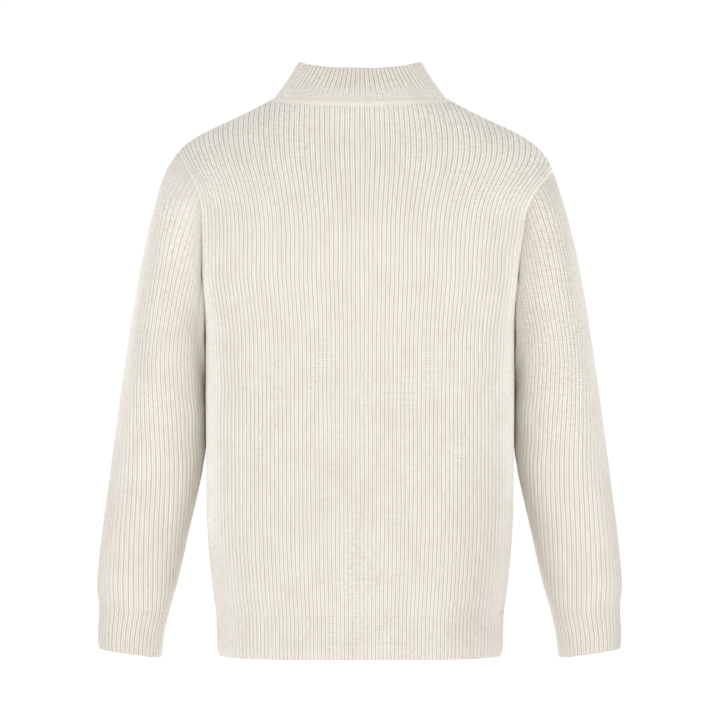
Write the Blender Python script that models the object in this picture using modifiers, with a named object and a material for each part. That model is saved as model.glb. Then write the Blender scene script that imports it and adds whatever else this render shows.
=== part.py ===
"""A zip-up cardigan in all-over rib knit, filled out as when worn, its zip closed.

Metres, +Z up. The front faces -Y and the wearer's left is +X. The origin is the middle of
the neck opening, level with the tops of the shoulders. Each cloth piece is a hollow wall:
its crest surface carries the ribs, and its inside is plain.
"""

import functools
import math
from collections import namedtuple

import bmesh
import bpy
import numpy as np

# ---- Driving dimensions ----

WALL = 0.0032  # from a rib's crest to the plain inside
RIB_DEPTH = 0.0012  # from a crest down to the valley beside it
SEAM = 0.0003  # between two pieces that are sewn together
PLACKET = 0.012  # between the two front edges, where the zip shows

HEM_BOTTOM = -0.680
HEM_TOP = -0.626
UNDERARM = -0.290
ARMHOLE_LOW = -0.215  # above this the armhole's edge runs along one rib

BODY_RIBS = 48  # from the middle line to the side seam
YOKE_RIBS = 38  # of those, the ribs that reach the shoulder or the neck
SLEEVE_RIBS = 35  # from the outer line to the underarm seam, at the upper arm
CUFF_RIBS = 22
COLLAR_RIBS = 44

# Horizontal rings of the body: half width, depth behind and before the origin, and the
# power of the superellipse. Above the shoulder tips the half width is the shoulder seam's.
Ring = namedtuple("Ring", "height width back front power")
BODY = (
    Ring(-0.690, 0.1745, 0.106, 0.107, 3.0),
    Ring(-0.626, 0.1755, 0.107, 0.109, 3.0),
    Ring(-0.600, 0.1790, 0.110, 0.112, 2.95),
    Ring(-0.540, 0.1848, 0.112, 0.116, 2.9),
    Ring(-0.440, 0.1872, 0.113, 0.120, 2.8),
    Ring(-0.330, 0.1884, 0.116, 0.124, 2.7),
    Ring(-0.290, 0.1890, 0.118, 0.125, 2.7),
    Ring(-0.215, 0.2020, 0.120, 0.124, 2.6),
    Ring(-0.150, 0.2150, 0.117, 0.116, 2.5),
    Ring(-0.100, 0.2360, 0.105, 0.103, 2.4),
    Ring(-0.074, 0.2290, 0.096, 0.093, 2.35),
    Ring(-0.050, 0.2050, 0.085, 0.084, 2.35),
    Ring(-0.038, 0.1840, 0.080, 0.080, 2.3),
    Ring(-0.026, 0.1580, 0.076, 0.077, 2.3),
    Ring(-0.012, 0.1290, 0.071, 0.073, 2.3),
    Ring(-0.003, 0.1120, 0.067, 0.070, 2.3),
    Ring(0.002, 0.1020, 0.064, 0.067, 2.3),
)

# The armhole's edge from its lowest rib up to the shoulder tip. The right shoulder hangs
# lower than the left, and its seam lies further out.
Edge = namedtuple("Edge", "height left right")
ARMHOLE = (
    Edge(-0.215, 0.1915, 0.1915),
    Edge(-0.190, 0.1910, 0.1935),
    Edge(-0.160, 0.1908, 0.1987),
    Edge(-0.138, 0.1914, 0.2020),
    Edge(-0.118, 0.1945, 0.2110),
    Edge(-0.102, 0.2010, 0.2235),
    Edge(-0.085, 0.2117, 0.2380),
    Edge(-0.065, 0.2230, 0.2500),
)
TIP_LEFT = -0.065
TIP_RIGHT = -0.0886

# Horizontal slices of a sleeve: nearest and furthest x, half depth, middle in y, and ribs
# in half the ring.
Slice = namedtuple("Slice", "height inner outer depth middle ribs")
SLEEVE = (
    Slice(-0.690, 0.2428, 0.3193, 0.0305, -0.036, 22.0),
    Slice(-0.655, 0.2405, 0.3186, 0.0315, -0.034, 22.0),
    Slice(-0.626, 0.2335, 0.3172, 0.0345, -0.032, 22.0),
    Slice(-0.587, 0.2227, 0.3184, 0.0380, -0.028, 23.7),
    Slice(-0.538, 0.2117, 0.3148, 0.0420, -0.022, 25.9),
    Slice(-0.440, 0.1918, 0.3032, 0.0500, -0.012, 30.0),
    Slice(-0.392, 0.1906, 0.2965, 0.0560, -0.009, 32.0),
    Slice(-0.343, 0.1908, 0.2898, 0.0620, -0.007, 34.0),
    Slice(-0.294, 0.1908, 0.2824, 0.0655, -0.006, 35.0),
    Slice(-0.245, 0.1900, 0.2745, 0.0690, -0.004, 33.5),
    Slice(-0.172, 0.1900, 0.2605, 0.0675, -0.002, 31.0),
    Slice(-0.123, 0.1880, 0.2477, 0.0630, 0.000, 28.0),
    Slice(-0.087, 0.1855, 0.2355, 0.0510, 0.000, 22.7),
    Slice(-0.060, 0.1850, 0.2190, 0.0360, 0.000, 17.0),
)
SLEEVE_POWER = 2.3
CAP_POWER = 1.54  # how the ribs crowd towards the top of the armhole
SEAM_START = -0.320  # the first rib that the underarm seam cuts off ends here
CAP_FADE = (0.14, 0.04)  # how far down the armhole shapes the sleeve: outside, underarm
CUFF_TILT = 0.011  # how much lower a cuff's inner side is than its outer side
CUFF_END = -0.670

# The neck in plan, and the collar that rises from it.
Neck = namedtuple("Neck", "width back front")
NECKLINE = Neck(0.112, 0.0705, 0.090)
BAND_WIDTH = 0.007
NECK_POWER = 2.4
COLLAR_TOP = Neck(0.075, 0.042, 0.068)
COLLAR_TOP_BACK = 0.036
COLLAR_TOP_SIDE = 0.0455
COLLAR_TOP_FRONT = -0.030
COLLAR_HOLLOW = 0.0015  # how far the collar's wall bends in between its edges

# The zip, as depths below the crest surface and distances along the front.
TAPE_DEPTH = 0.0040
TAPE_THICK = 0.0008
TAPE_INNER = 0.0004
CHAIN_WIDTH = 0.0058
CHAIN_DEPTH = 0.0009
CHAIN_THICK = 0.0026
BOX_HEIGHT = 0.0115
BOX_WIDTH = 0.009
BOX_SOFT = 0.0008
SLIDER_SEAT = 0.86  # how far up the collar the closed slider sits
SLIDER_HALF = 0.0050
SLIDER_WIDTH = 0.0080
SLIDER_PLATE = 0.0014
SLIDER_FREE = 0.0005  # between the chain and the slider's front plate
SLIDER_STEM = 0.0022  # above this the two plates are joined
HINGE_OUT = 0.0037  # from the crest surface to the pull tab's axis
BAIL_HOLE = 0.0015
BAIL_ROUND = 0.0028
BAIL_THICK = 0.0020
TAB_THICK = 0.0014
TAB_LENGTH = 0.026
TAB_WIDTH = 0.007
TAB_HEAD = 0.0008  # the bar through the bail reaches this far on each side of the axis
TAB_EYE = 0.0016  # half the width of the tab's eye
TAB_EYE_END = 0.0046
TAB_REST = math.radians(6.0)  # the tab leans this much further in, onto the collar

STEPS = 129  # points that measure the arc of a quarter or half ring
NUDGE = 1e-4  # for slopes


# ---- Curves and surfaces ----


@functools.cache
def knots(table):
    """A table's heights, its other columns, and their slopes."""
    rows = np.array(sorted(table), float)
    x, y = rows[:, 0], rows[:, 1:]
    return x, y, np.gradient(y, x, axis=0)


def smooth(table, at):
    """The columns of a table at these heights, on smooth curves through its rows."""
    x, y, slope = knots(table)
    at = np.asarray(at, float)
    i = np.clip(np.searchsorted(x, at) - 1, 0, len(x) - 2)
    span = x[i + 1] - x[i]
    t = ((at - x[i]) / span)[..., None]
    span = span[..., None]
    rise = t * t * (3 - 2 * t)
    into = t * (1 - t) ** 2
    out = t * t * (t - 1)
    return y[i] + (y[i + 1] - y[i]) * rise + span * (into * slope[i] + out * slope[i + 1])


def arc(width, depth, power, turn):
    """Superellipse points at these turns from the depth axis, with the length along them."""
    width, depth, power = (np.atleast_1d(v)[:, None] for v in (width, depth, power))
    s, c = np.sin(turn), np.cos(turn)
    x = width * np.abs(s) ** (2 / power) * np.sign(s)
    y = depth * np.abs(c) ** (2 / power) * np.sign(c)
    step = np.hypot(np.diff(x, axis=1), np.diff(y, axis=1))
    length = np.concatenate([np.zeros((len(x), 1)), np.cumsum(step, axis=1)], axis=1)
    return x, y, length


def read(along, want, *values):
    """Each row's values where its rising along reaches want."""
    rows = np.arange(len(along))
    k = np.clip((along < want[:, None]).sum(axis=1), 1, along.shape[1] - 1)
    low, high = along[rows, k - 1], along[rows, k]
    t = np.clip((want - low) / np.maximum(high - low, 1e-12), 0, 1)
    return [v[rows, k - 1] * (1 - t) + v[rows, k] * t for v in values]


def blend(t):
    """From 1 at t = 0 down to 0 at t = 1, level at both ends."""
    t = np.clip(t, 0, 1)
    return (1 - t) ** 2 * (1 + 2 * t)


def unit(v):
    return v / np.maximum(np.linalg.norm(v, axis=-1, keepdims=True), 1e-12)


# ---- The body's form ----


def tip_of(side):
    return np.where(side > 0, TIP_LEFT, TIP_RIGHT)


def armhole_x(side, height):
    """The x of the armhole's edge, which meets the shoulder seam at the tip."""
    edges = smooth(ARMHOLE, height)
    tip = tip_of(side)
    at_tip = smooth(ARMHOLE, tip)
    width = smooth(BODY, tip)[..., 0]
    x = np.where(side > 0, edges[..., 0], edges[..., 1])
    end = np.where(side > 0, at_tip[..., 0], at_tip[..., 1])
    near = np.clip((height - ARMHOLE_LOW) / (tip - ARMHOLE_LOW), 0, 1)
    return x + (width - end) * near**3


def rib_place(column, height, face):
    """x and y on the body where a rib line crosses a height up to the shoulder tip.

    face is 1 behind and -1 in front. In front, column 0 is the placket's edge.
    """
    side = np.where(column < 0, -1.0, 1.0)
    number = np.abs(column)
    ring = smooth(BODY, height)
    depth = ring[..., 1] if face > 0 else ring[..., 2]
    x, y, length = arc(ring[..., 0], depth, ring[..., 3], np.linspace(0, math.pi / 2, STEPS))
    start = 0.0 if face > 0 else PLACKET / 2
    to_edge = read(x, armhole_x(side, height), length)[0]
    low = height <= ARMHOLE_LOW
    end = np.where(low, length[:, -1], to_edge)
    ribs = np.where(low, BODY_RIBS, YOKE_RIBS)
    want = start + (end - start) * number / ribs
    found = read(length, want, x, y)
    return found[0] * side, found[1] * face


def depth_at(x, height, face):
    """y of the body's crest surface at an x and a height."""
    ring = smooth(BODY, height)
    depth = ring[..., 1] if face > 0 else ring[..., 2]
    share = np.clip(np.abs(x) / ring[..., 0], 0, 1)
    return face * depth * (1 - share ** ring[..., 3]) ** (1 / ring[..., 3])


def body_normal(points, face):
    """Outward unit vectors of the body's form."""

    def beyond(height):
        ring = smooth(BODY, height)
        depth = ring[..., 1] if face > 0 else ring[..., 2]
        power = ring[..., 3]
        gone = (np.abs(x) / ring[..., 0]) ** power + (np.abs(y) / depth) ** power
        return gone, ring[..., 0], depth, power

    x, y, z = points[..., 0], points[..., 1], points[..., 2]
    _, width, depth, power = beyond(z)
    rise = (beyond(z + NUDGE)[0] - beyond(z - NUDGE)[0]) / (2 * NUDGE)
    nx = power * (np.abs(x) / width) ** (power - 1) / width * np.sign(x)
    ny = power * (np.abs(y) / depth) ** (power - 1) / depth * face
    return unit(np.stack([nx, ny, rise], axis=-1))


@functools.cache
def shoulder_line():
    z = np.linspace(TIP_RIGHT, 0.0, 200)
    return -smooth(BODY, z)[..., 0], z


def shoulder_height(x):
    """Height of the shoulder seam at an x beyond the neck."""
    return np.interp(-np.abs(x), *shoulder_line())


def neckline_height(x, face):
    """Height at which the body's surface reaches the neckline's plan."""
    low = np.full(np.shape(x), -0.150)
    high = shoulder_height(x)
    share = np.clip(np.abs(x) / NECKLINE.width, 0, 1)
    depth = NECKLINE.back if face > 0 else NECKLINE.front
    goal = depth * (1 - share**NECK_POWER) ** (1 / NECK_POWER)
    for _ in range(24):
        middle = (low + high) / 2
        outside = np.abs(depth_at(x, middle, face)) > goal
        low = np.where(outside, middle, low)
        high = np.where(outside, high, middle)
    return (low + high) / 2


@functools.cache
def neck_column(side, face):
    """The rib line or crest that ends on the corner of neckline and shoulder seam."""
    columns = side * np.arange(0.0, YOKE_RIBS, 0.5)
    x = rib_place(columns, np.full(columns.shape, float(tip_of(side))), face)[0]
    return float(columns[np.argmin(np.abs(np.abs(x) - NECKLINE.width))])


def rib_top(column, face):
    """x and height where a rib line that passes the armhole ends."""
    side = -1.0 if column < 0 else 1.0
    tip = float(tip_of(side))
    if abs(column) >= YOKE_RIBS:
        return float(rib_place(np.array([column]), np.array([tip]), face)[0][0]), tip
    if column == neck_column(side, face):
        return side * NECKLINE.width, float(shoulder_height(NECKLINE.width))
    z = tip
    for _ in range(4):
        x = rib_place(np.array([column]), np.array([min(z, tip)]), face)[0]
        inside = abs(x[0]) < NECKLINE.width
        z = float(neckline_height(x, face)[0] if inside else shoulder_height(x[0]))
    return float(x[0]), z


def armhole_foot(column):
    """Height at which a rib line beyond the yoke's last one meets the armhole."""
    share = np.clip((np.abs(column) - YOKE_RIBS) / (BODY_RIBS - YOKE_RIBS), 0, 1)
    return UNDERARM + (ARMHOLE_LOW - UNDERARM) * (1 - np.sqrt(1 - (1 - share) ** 2))


@functools.cache
def upper_line(column, face):
    """A rib line from the armhole's foot to its top, with the length along it."""
    side = 1.0 if column >= 0 else -1.0
    tip = float(tip_of(side))
    top_x, top = rib_top(float(column), face)
    rise = np.sin(np.linspace(0, math.pi / 2, 61))
    z = ARMHOLE_LOW + (top - ARMHOLE_LOW) * rise
    x = rib_place(np.full(z.shape, column), np.minimum(z, tip), face)[0]
    x[-1] = top_x
    y = depth_at(x, z, face)
    if abs(top_x) >= NECKLINE.width:
        y[-1] = 0.0
    line = np.stack([x, y, z], axis=-1)
    length = np.concatenate([[0], np.cumsum(np.linalg.norm(np.diff(line, axis=0), axis=1))])
    return line, length


LOWER_ROWS = (0.0, 0.068, 0.21, 0.60, 1.0)
UPPER_ROWS = (0.26, 0.5, 0.71, 0.88, 1.0)
ARM_ROW = len(LOWER_ROWS) - 1
TOP_ROW = ARM_ROW + len(UPPER_ROWS)


@functools.cache
def body_point(column, row, face):
    """A point of a body panel at a rib line and a row number."""
    if row <= ARM_ROW:
        low = HEM_TOP + SEAM / 2
        z = low + (float(armhole_foot(column)) - low) * LOWER_ROWS[row]
        x, y = rib_place(np.array([float(column)]), np.array([z]), face)
        return np.array([x[0], y[0], z])
    line, length = upper_line(column, face)
    want = UPPER_ROWS[row - ARM_ROW - 1] * length[-1]
    return np.array([np.interp(want, length, line[:, k]) for k in range(3)])


def hem_point(column, row, face):
    z = HEM_BOTTOM + (HEM_TOP - SEAM / 2 - HEM_BOTTOM) * row
    x, y = rib_place(np.array([float(column)]), np.array([z]), face)
    return np.array([x[0], y[0], z])


# ---- Walls ----


def lattice(bm, columns, rows, place, keep):
    """A grid of vertices by column and row, each at place(column, row)."""
    across, up = len(columns) - 1, len(rows) - 1
    made = bmesh.ops.create_grid(bm, x_segments=across, y_segments=up, size=1)
    grid = {}
    dropped = []
    for index, vert in enumerate(made["verts"]):
        key = (columns[index % len(columns)], rows[index // len(columns)])
        if keep(*key):
            vert.co = place(*key)
            grid[key] = vert
        else:
            dropped.append(vert)
    bmesh.ops.delete(bm, geom=dropped, context="VERTS")
    return grid


def chain(grid, start, end):
    """Distances and vertices of a grid from one corner to another, along a row or a column."""
    along = 0 if start[1] == end[1] else 1
    fixed = start[1 - along]
    low, high = sorted((start[along], end[along]))
    keys = [k for k in grid if k[1 - along] == fixed and low <= k[along] <= high]
    pairs = [(abs(k[along] - start[along]), grid[k]) for k in keys]
    return sorted(pairs, key=lambda pair: pair[0])


def lace(bm, first, second):
    """Joins two chains with triangles, each time from the one whose next vertex is nearer."""
    i = j = 0
    while i < len(first) - 1 or j < len(second) - 1:
        at_end = j == len(second) - 1
        if at_end or (i < len(first) - 1 and first[i + 1][0] <= second[j + 1][0]):
            bm.faces.new((first[i][1], first[i + 1][1], second[j][1]))
            i += 1
        else:
            bm.faces.new((first[i][1], second[j + 1][1], second[j][1]))
            j += 1


def finish_mesh(bm, name, material, collection):
    bmesh.ops.recalc_face_normals(bm, faces=bm.faces)
    if bm.calc_volume(signed=True) < 0:
        bmesh.ops.reverse_faces(bm, faces=bm.faces)
    mesh = bpy.data.meshes.new(name)
    bm.to_mesh(mesh)
    bm.free()
    mesh.materials.append(material)
    mesh.shade_smooth()
    mesh.set_sharp_from_angle(angle=math.radians(40))
    made = bpy.data.objects.new(name, mesh)
    collection.objects.link(made)
    return made


def everywhere(column, row):
    return True


def rib_wall(columns, plain, rows, outer_place, inner_place, borders, keep=everywhere):
    """A ribbed surface and a plain one, laced together along the borders."""
    bm = bmesh.new()
    outside = lattice(bm, columns, rows, outer_place, keep)
    inside = lattice(bm, plain, rows, inner_place, keep)
    for start, end in borders:
        lace(bm, chain(outside, start, end), chain(inside, start, end))
    return bm


def half_steps(first, last):
    """Rib lines from first to last, with the crest between each two."""
    return [first + 0.5 * k for k in range(int(round((last - first) * 2)) + 1)]


def is_valley(column):
    return float(column).is_integer()


def plain_columns(first, last, cells):
    return [first + (last - first) * k / cells for k in range(cells + 1)]


# ---- Body panels and hem bands ----


def body_wall(name, material, collection, first, last, face):
    """A panel between two rib lines: the back, or the left or right front."""

    def keep(column, row):
        return abs(column) <= YOKE_RIBS or row <= ARM_ROW

    def placed(column, row, depth):
        point = body_point(column, row, face)
        normal = body_normal(point, face)
        moved = point - normal * depth
        moved[1] = face * max(face * moved[1], SEAM / 2)
        if abs(column) == BODY_RIBS:
            moved[1] = face * SEAM / 2
        if face < 0 and column == 0:
            moved[0] = math.copysign(PLACKET / 2, first + last)
        return moved

    def crest(column, row):
        return placed(column, row, RIB_DEPTH if is_valley(column) else 0.0)

    def inner(column, row):
        return placed(column, row, WALL)

    yoke = [c for c in (-YOKE_RIBS, YOKE_RIBS) if first <= c <= last]
    low, high = max(first, -YOKE_RIBS), min(last, YOKE_RIBS)
    columns = half_steps(first, last)
    plain = body_plain(first, last, face)
    borders = [((first, 0), (last, 0)), ((low, TOP_ROW), (high, TOP_ROW))]
    for c in (first, last):
        borders.append(((c, 0), (c, ARM_ROW if abs(c) > YOKE_RIBS else TOP_ROW)))
    for c in yoke:
        outer_column = math.copysign(BODY_RIBS, c)
        borders.append(((c, ARM_ROW), (outer_column, ARM_ROW)))
        borders.append(((c, ARM_ROW), (c, TOP_ROW)))
    bm = rib_wall(columns, plain, range(TOP_ROW + 1), crest, inner, borders, keep)
    return finish_mesh(bm, name, material, collection)


NECK_CELLS = 8


def body_plain(first, last, face):
    """The plain side's columns, closest together where the neckline turns along the ribs."""
    every = set()
    for side in (1.0, -1.0):
        neck = abs(neck_column(side, face))
        shares = [1 - (1 - k / NECK_CELLS) ** 2 for k in range(NECK_CELLS)]
        half = [round(2 * neck * share) / 2 for share in shares] + [neck - 0.5]
        half += plain_columns(neck, YOKE_RIBS, 3)
        half += plain_columns(YOKE_RIBS, BODY_RIBS, 4)
        every |= {side * c for c in half}
    return sorted(c for c in every if first <= c <= last)


def hem_wall(name, material, collection, first, last, face):
    def placed(column, row, depth):
        point = hem_point(column, row, face)
        moved = point - body_normal(point, face) * depth
        moved[2] = point[2]
        moved[1] = face * max(face * moved[1], SEAM / 2)
        if abs(column) == BODY_RIBS:
            moved[1] = face * SEAM / 2
        if face < 0 and column == 0:
            moved[0] = math.copysign(PLACKET / 2, first + last)
        return moved

    def crest(column, row):
        return placed(column, row, RIB_DEPTH if is_valley(column) else 0.0)

    def inner(column, row):
        return placed(column, row, WALL)

    rows = (0, 1)
    borders = [((first, row), (last, row)) for row in rows]
    borders += [((c, 0), (c, 1)) for c in (first, last)]
    plain = body_plain(first, last, face)
    bm = rib_wall(half_steps(first, last), plain, rows, crest, inner, borders)
    return finish_mesh(bm, name, material, collection)


class PanelEdge:
    """A seam along panel edges: points, outward vectors, and vectors away from the panels.

    The panels lie below the last point, so there the vectors away point up.
    """

    def __init__(self, points, normals):
        self.points, self.normals = points, normals
        step = np.linalg.norm(np.diff(points, axis=0), axis=1)
        self.length = np.concatenate([[0], np.cumsum(step)])
        self.length /= self.length[-1]
        away = unit(np.cross(np.gradient(points, self.length, axis=0), normals))
        self.away = away * np.sign(away[-1][2])

    def at(self, length, values):
        return np.array([np.interp(length, self.length, values[:, k]) for k in range(3)])


# ---- Sleeves and cuffs ----


def tube_point(share, height, face):
    """A point of the sleeve's tube: share runs from its outer line (0) to the underarm (1)."""
    inner, outer, depth, middle, _ = smooth(SLEEVE, height)
    half = np.array([(outer - inner) / 2])
    turn = np.linspace(0, math.pi, STEPS)
    # arc() measures from the depth axis, so the sleeve's x is its y here.
    x, y, length = arc(np.array([depth]), half, np.array([SLEEVE_POWER]), turn)
    found = read(length, np.array([share * length[0, -1]]), x, y)
    return np.array([(outer + inner) / 2 + found[1][0], middle + face * found[0][0], height])


def ribs_at(height):
    rows = np.array(sorted((s.height, s.ribs) for s in SLEEVE))
    return float(np.interp(height, rows[:, 0], rows[:, 1]))


def seam_height(number):
    """Height at which the underarm seam cuts a sleeve rib off, or the cuff's top."""
    if number <= CUFF_RIBS:
        share = number / CUFF_RIBS
        lift = CUFF_TILT * (1 + math.cos(math.pi * share)) / 2
        return HEM_TOP + lift
    reach = (number - CUFF_RIBS) / (SLEEVE_RIBS - CUFF_RIBS)
    return HEM_TOP + (SEAM_START - HEM_TOP) * reach


def share_at(number, height):
    """How far round half a ring a rib lies, up to the underarm seam."""
    if height < SEAM_START:
        reach = (height - HEM_TOP) / (SEAM_START - HEM_TOP)
        ribs = CUFF_RIBS + (SLEEVE_RIBS - CUFF_RIBS) * min(max(reach, 0.0), 1.0)
    elif height < -0.294:
        ribs = SLEEVE_RIBS
    else:
        ribs = ribs_at(height)
    return min(number / ribs, 1.0)


def armhole_edge(side, face, columns):
    """The edge of a front or back panel round the arm, from the tip to the underarm."""
    places = [(side * YOKE_RIBS, row) for row in range(TOP_ROW, ARM_ROW, -1)]
    places += [(side * c, ARM_ROW) for c in columns]
    points = np.array([body_point(c, row, face) for c, row in places])
    return PanelEdge(points, np.array([body_normal(p, face) for p in points]))


def sleeve_numbers(armhole):
    """The sleeve's columns, in ribs, that meet the corners of an armhole's edge."""
    return [SLEEVE_RIBS * float(a) ** (1 / CAP_POWER) for a in armhole.length]


SLEEVE_ROWS = (0.0, 0.07, 0.19, 0.38, 0.60, 0.86, 1.0)


class Sleeve:
    """The mapping from rib columns and rows to the surface of one sleeve."""

    def __init__(self, side, plain=False):
        self.side = side
        if plain:
            columns = plain_columns(YOKE_RIBS, BODY_RIBS, 4)
        else:
            columns = half_steps(YOKE_RIBS, BODY_RIBS)
        self.armholes = {face: armhole_edge(side, face, columns) for face in (1, -1)}

    def span(self, column):
        """Where a column starts on the armhole, and the height at which it ends."""
        face = 1 if column >= 0 else -1
        number = min(abs(column), SLEEVE_RIBS)
        armhole = self.armholes[face]
        length = (number / SLEEVE_RIBS) ** CAP_POWER
        return face, number, armhole, length, armhole.at(length, armhole.points)

    def tube(self, number, height, face):
        point = tube_point(share_at(number, height), height, face)
        point[0] *= self.side
        return point

    def smooth_point(self, column, share):
        """A point of the sleeve as if its cloth ran straight into the armhole's edge."""
        face, number, _, _, start = self.span(column)
        end = seam_height(number) + SEAM / 2
        height = start[2] + (end - start[2]) * share
        pull = start - self.tube(number, start[2], face)
        outside, underarm = CAP_FADE
        fade = outside + (underarm - outside) * number / SLEEVE_RIBS
        point = self.tube(number, height, face)
        point[:2] += pull[:2] * blend((start[2] - height) / fade)
        return point

    def frame(self, column, share):
        """Outward unit vector and the direction down the column."""
        step = 0.02
        low, high = max(share - step, 0.0), min(share + step, 1.0)
        down = self.smooth_point(column, high) - self.smooth_point(column, low)
        reach = 0.25
        left = max(column - reach, -SLEEVE_RIBS)
        right = min(column + reach, SLEEVE_RIBS)
        across = self.smooth_point(right, share) - self.smooth_point(left, share)
        normal = unit(np.cross(down, across) * self.side)
        return normal, unit(down)

    def place(self, column, row, depth):
        """A point of the sleeve's wall, with its head set 0.3 mm off the armhole."""
        share = SLEEVE_ROWS[row]
        point = self.smooth_point(column, share)
        normal, down = self.frame(column, share)
        if row == 0:
            _, _, armhole, length, _ = self.span(column)
            edge_normal = armhole.at(length, armhole.normals)
            out = unit(edge_normal)
            away = unit(armhole.at(length, armhole.away))
            fold = math.atan2(float(down @ out), float(down @ away))
            if fold < -math.pi / 2:
                fold = math.pi
            point = point + SEAM * (away * math.cos(fold / 2) + out * math.sin(fold / 2))
            if fold < 0:
                normal = edge_normal
        moved = point - normal * depth
        if row == len(SLEEVE_ROWS) - 1:
            moved[2] = point[2]
        return moved


def pair_up(grid, columns, rows):
    """Puts the two edges of an underarm seam in one place."""
    for column, row in [(c, r) for c in columns for r in rows]:
        if column > 0 and (column, row) in grid and (-column, row) in grid:
            one, other = grid[(column, row)], grid[(-column, row)]
            middle = (one.co + other.co) / 2
            one.co = middle
            other.co = middle


def sleeve_wall(name, material, collection, side):
    fine, coarse = Sleeve(side), Sleeve(side, plain=True)
    last = len(SLEEVE_ROWS) - 1
    columns = half_steps(-SLEEVE_RIBS, SLEEVE_RIBS)
    half = {round(n, 6) for n in sleeve_numbers(coarse.armholes[1])}
    half = {n for n in half if abs(n - CUFF_RIBS) > 1.5} | {CUFF_RIBS, SLEEVE_RIBS}
    gaps = zip(sorted(half), sorted(half)[1:])
    half |= {(a + b) / 2 for a, b in gaps if b - a > 3.0}
    plain = sorted(half | {-n for n in half})
    bm = bmesh.new()

    def crest(column, row):
        return fine.place(column, row, RIB_DEPTH if is_valley(column) else 0.0)

    def inner(column, row):
        return coarse.place(column, row, WALL)

    rows = range(last + 1)
    for lines, place in ((columns, crest), (plain, inner)):
        grid = lattice(bm, lines, rows, place, everywhere)
        pair_up(grid, [c for c in lines if c > CUFF_RIBS - 0.01], [last])
        pair_up(grid, [SLEEVE_RIBS], rows)
        if lines is columns:
            outside = grid
    inside = grid
    ends = [((-SLEEVE_RIBS, 0), (SLEEVE_RIBS, 0)), ((-CUFF_RIBS, last), (CUFF_RIBS, last))]
    for start, end in ends:
        lace(bm, chain(outside, start, end), chain(inside, start, end))
    bmesh.ops.remove_doubles(bm, verts=bm.verts, dist=1e-5)
    return finish_mesh(bm, name, material, collection)


def cuff_wall(name, material, collection, side):
    def placed(column, row, depth):
        face = 1 if column >= 0 else -1
        share = min(abs(column) / CUFF_RIBS, 1.0)
        tilt = CUFF_TILT * (1 + math.cos(math.pi * share)) / 2
        top = HEM_TOP - SEAM / 2 + tilt
        bottom = CUFF_END - CUFF_TILT + tilt
        height = top + (bottom - top) * row

        def at(part, level):
            return tube_point(min(part, 1.0), level, face)

        point = at(share, height)
        around = at(share + 0.01, height) - at(share - 0.01, height)
        if share > 0.99:
            around = np.array([0.0, -face, 0.0])
        if share < 0.01:
            around = np.array([0.0, face, 0.0])
        down = at(share, height - 0.002) - at(share, height + 0.002)
        normal = unit(np.cross(down, around) * face)
        moved = point - normal * depth
        moved[2] = height
        moved[0] *= side
        return moved

    def crest(column, row):
        return placed(column, row, RIB_DEPTH if is_valley(column) else 0.0)

    def inner(column, row):
        return placed(column, row, WALL)

    bm = bmesh.new()
    rows = (0, 1)
    grids = []
    for lines, place in (
        (half_steps(-CUFF_RIBS, CUFF_RIBS), crest),
        (plain_columns(-CUFF_RIBS, CUFF_RIBS, 16), inner),
    ):
        grid = lattice(bm, lines, rows, place, everywhere)
        pair_up(grid, [CUFF_RIBS], rows)
        grids.append(grid)
    for row in rows:
        lace(bm, *(chain(g, (-CUFF_RIBS, row), (CUFF_RIBS, row)) for g in grids))
    bmesh.ops.remove_doubles(bm, verts=bm.verts, dist=1e-5)
    return finish_mesh(bm, name, material, collection)


# ---- Neck band and collar ----


def collar_loop(share, face):
    """x and y of the collar's top edge, from the middle behind or in front (0) to the side (1)."""
    depth = COLLAR_TOP.back if face > 0 else COLLAR_TOP.front
    turn = np.linspace(0, math.pi / 2, STEPS)
    x, y, length = arc(COLLAR_TOP.width, depth, NECK_POWER, turn)
    start = 0.0 if face > 0 else PLACKET / 2
    want = start + share * (length[0, -1] - start)
    found = read(length, np.array([want]), x, y)
    return found[0][0], face * found[1][0]


@functools.cache
def neck_edge(side):
    """The neckline from the middle of the back to the front edge, and the share behind."""
    points, normals = [], []
    for face in (1, -1):
        corner = neck_column(side, face)
        columns = [side * c for c in half_steps(0, abs(corner))]
        if face < 0:
            columns = columns[-2::-1]
        for column in columns:
            point = body_point(column, TOP_ROW, face)
            points.append(point)
            normals.append(body_normal(point, face))
        if face > 0:
            last = len(points) - 1
    edge = PanelEdge(np.array(points), np.array(normals))
    return edge, float(edge.length[last])


def neck_parts(column):
    """Side, face and share of a quarter loop for a collar column."""
    side = 1.0 if column >= 0 else -1.0
    back = COLLAR_RIBS * neck_edge(side)[1]
    number = abs(column)
    if number <= back:
        return side, 1, number / back
    return side, -1, (COLLAR_RIBS - number) / (COLLAR_RIBS - back)


@functools.cache
def neck_frame(column):
    """The neckline's point at a collar column, the way up the band, and outward."""
    edge = neck_edge(1.0 if column >= 0 else -1.0)[0]
    length = min(abs(column) / COLLAR_RIBS, 1.0)
    return tuple(edge.at(length, v) for v in (edge.points, edge.away, edge.normals))


def collar_base(column):
    point, up, out = neck_frame(column)
    return point + up * BAND_WIDTH


def collar_top(column):
    side, face, share = neck_parts(column)
    x, y = collar_loop(share, face)
    reach = abs(y) / (COLLAR_TOP.back if face > 0 else COLLAR_TOP.front)
    end = COLLAR_TOP_BACK if face > 0 else COLLAR_TOP_FRONT
    return np.array([side * x, y, COLLAR_TOP_SIDE + (end - COLLAR_TOP_SIDE) * reach**2])


def collar_point(column, share):
    """The collar's crest surface between its base (0) and its top edge (1)."""
    base, top = collar_base(column), collar_top(column)
    point = base + (top - base) * share
    inward = unit(np.array([-point[0], -point[1], 0.0]))
    return point + inward * COLLAR_HOLLOW * 4 * share * (1 - share)


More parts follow.
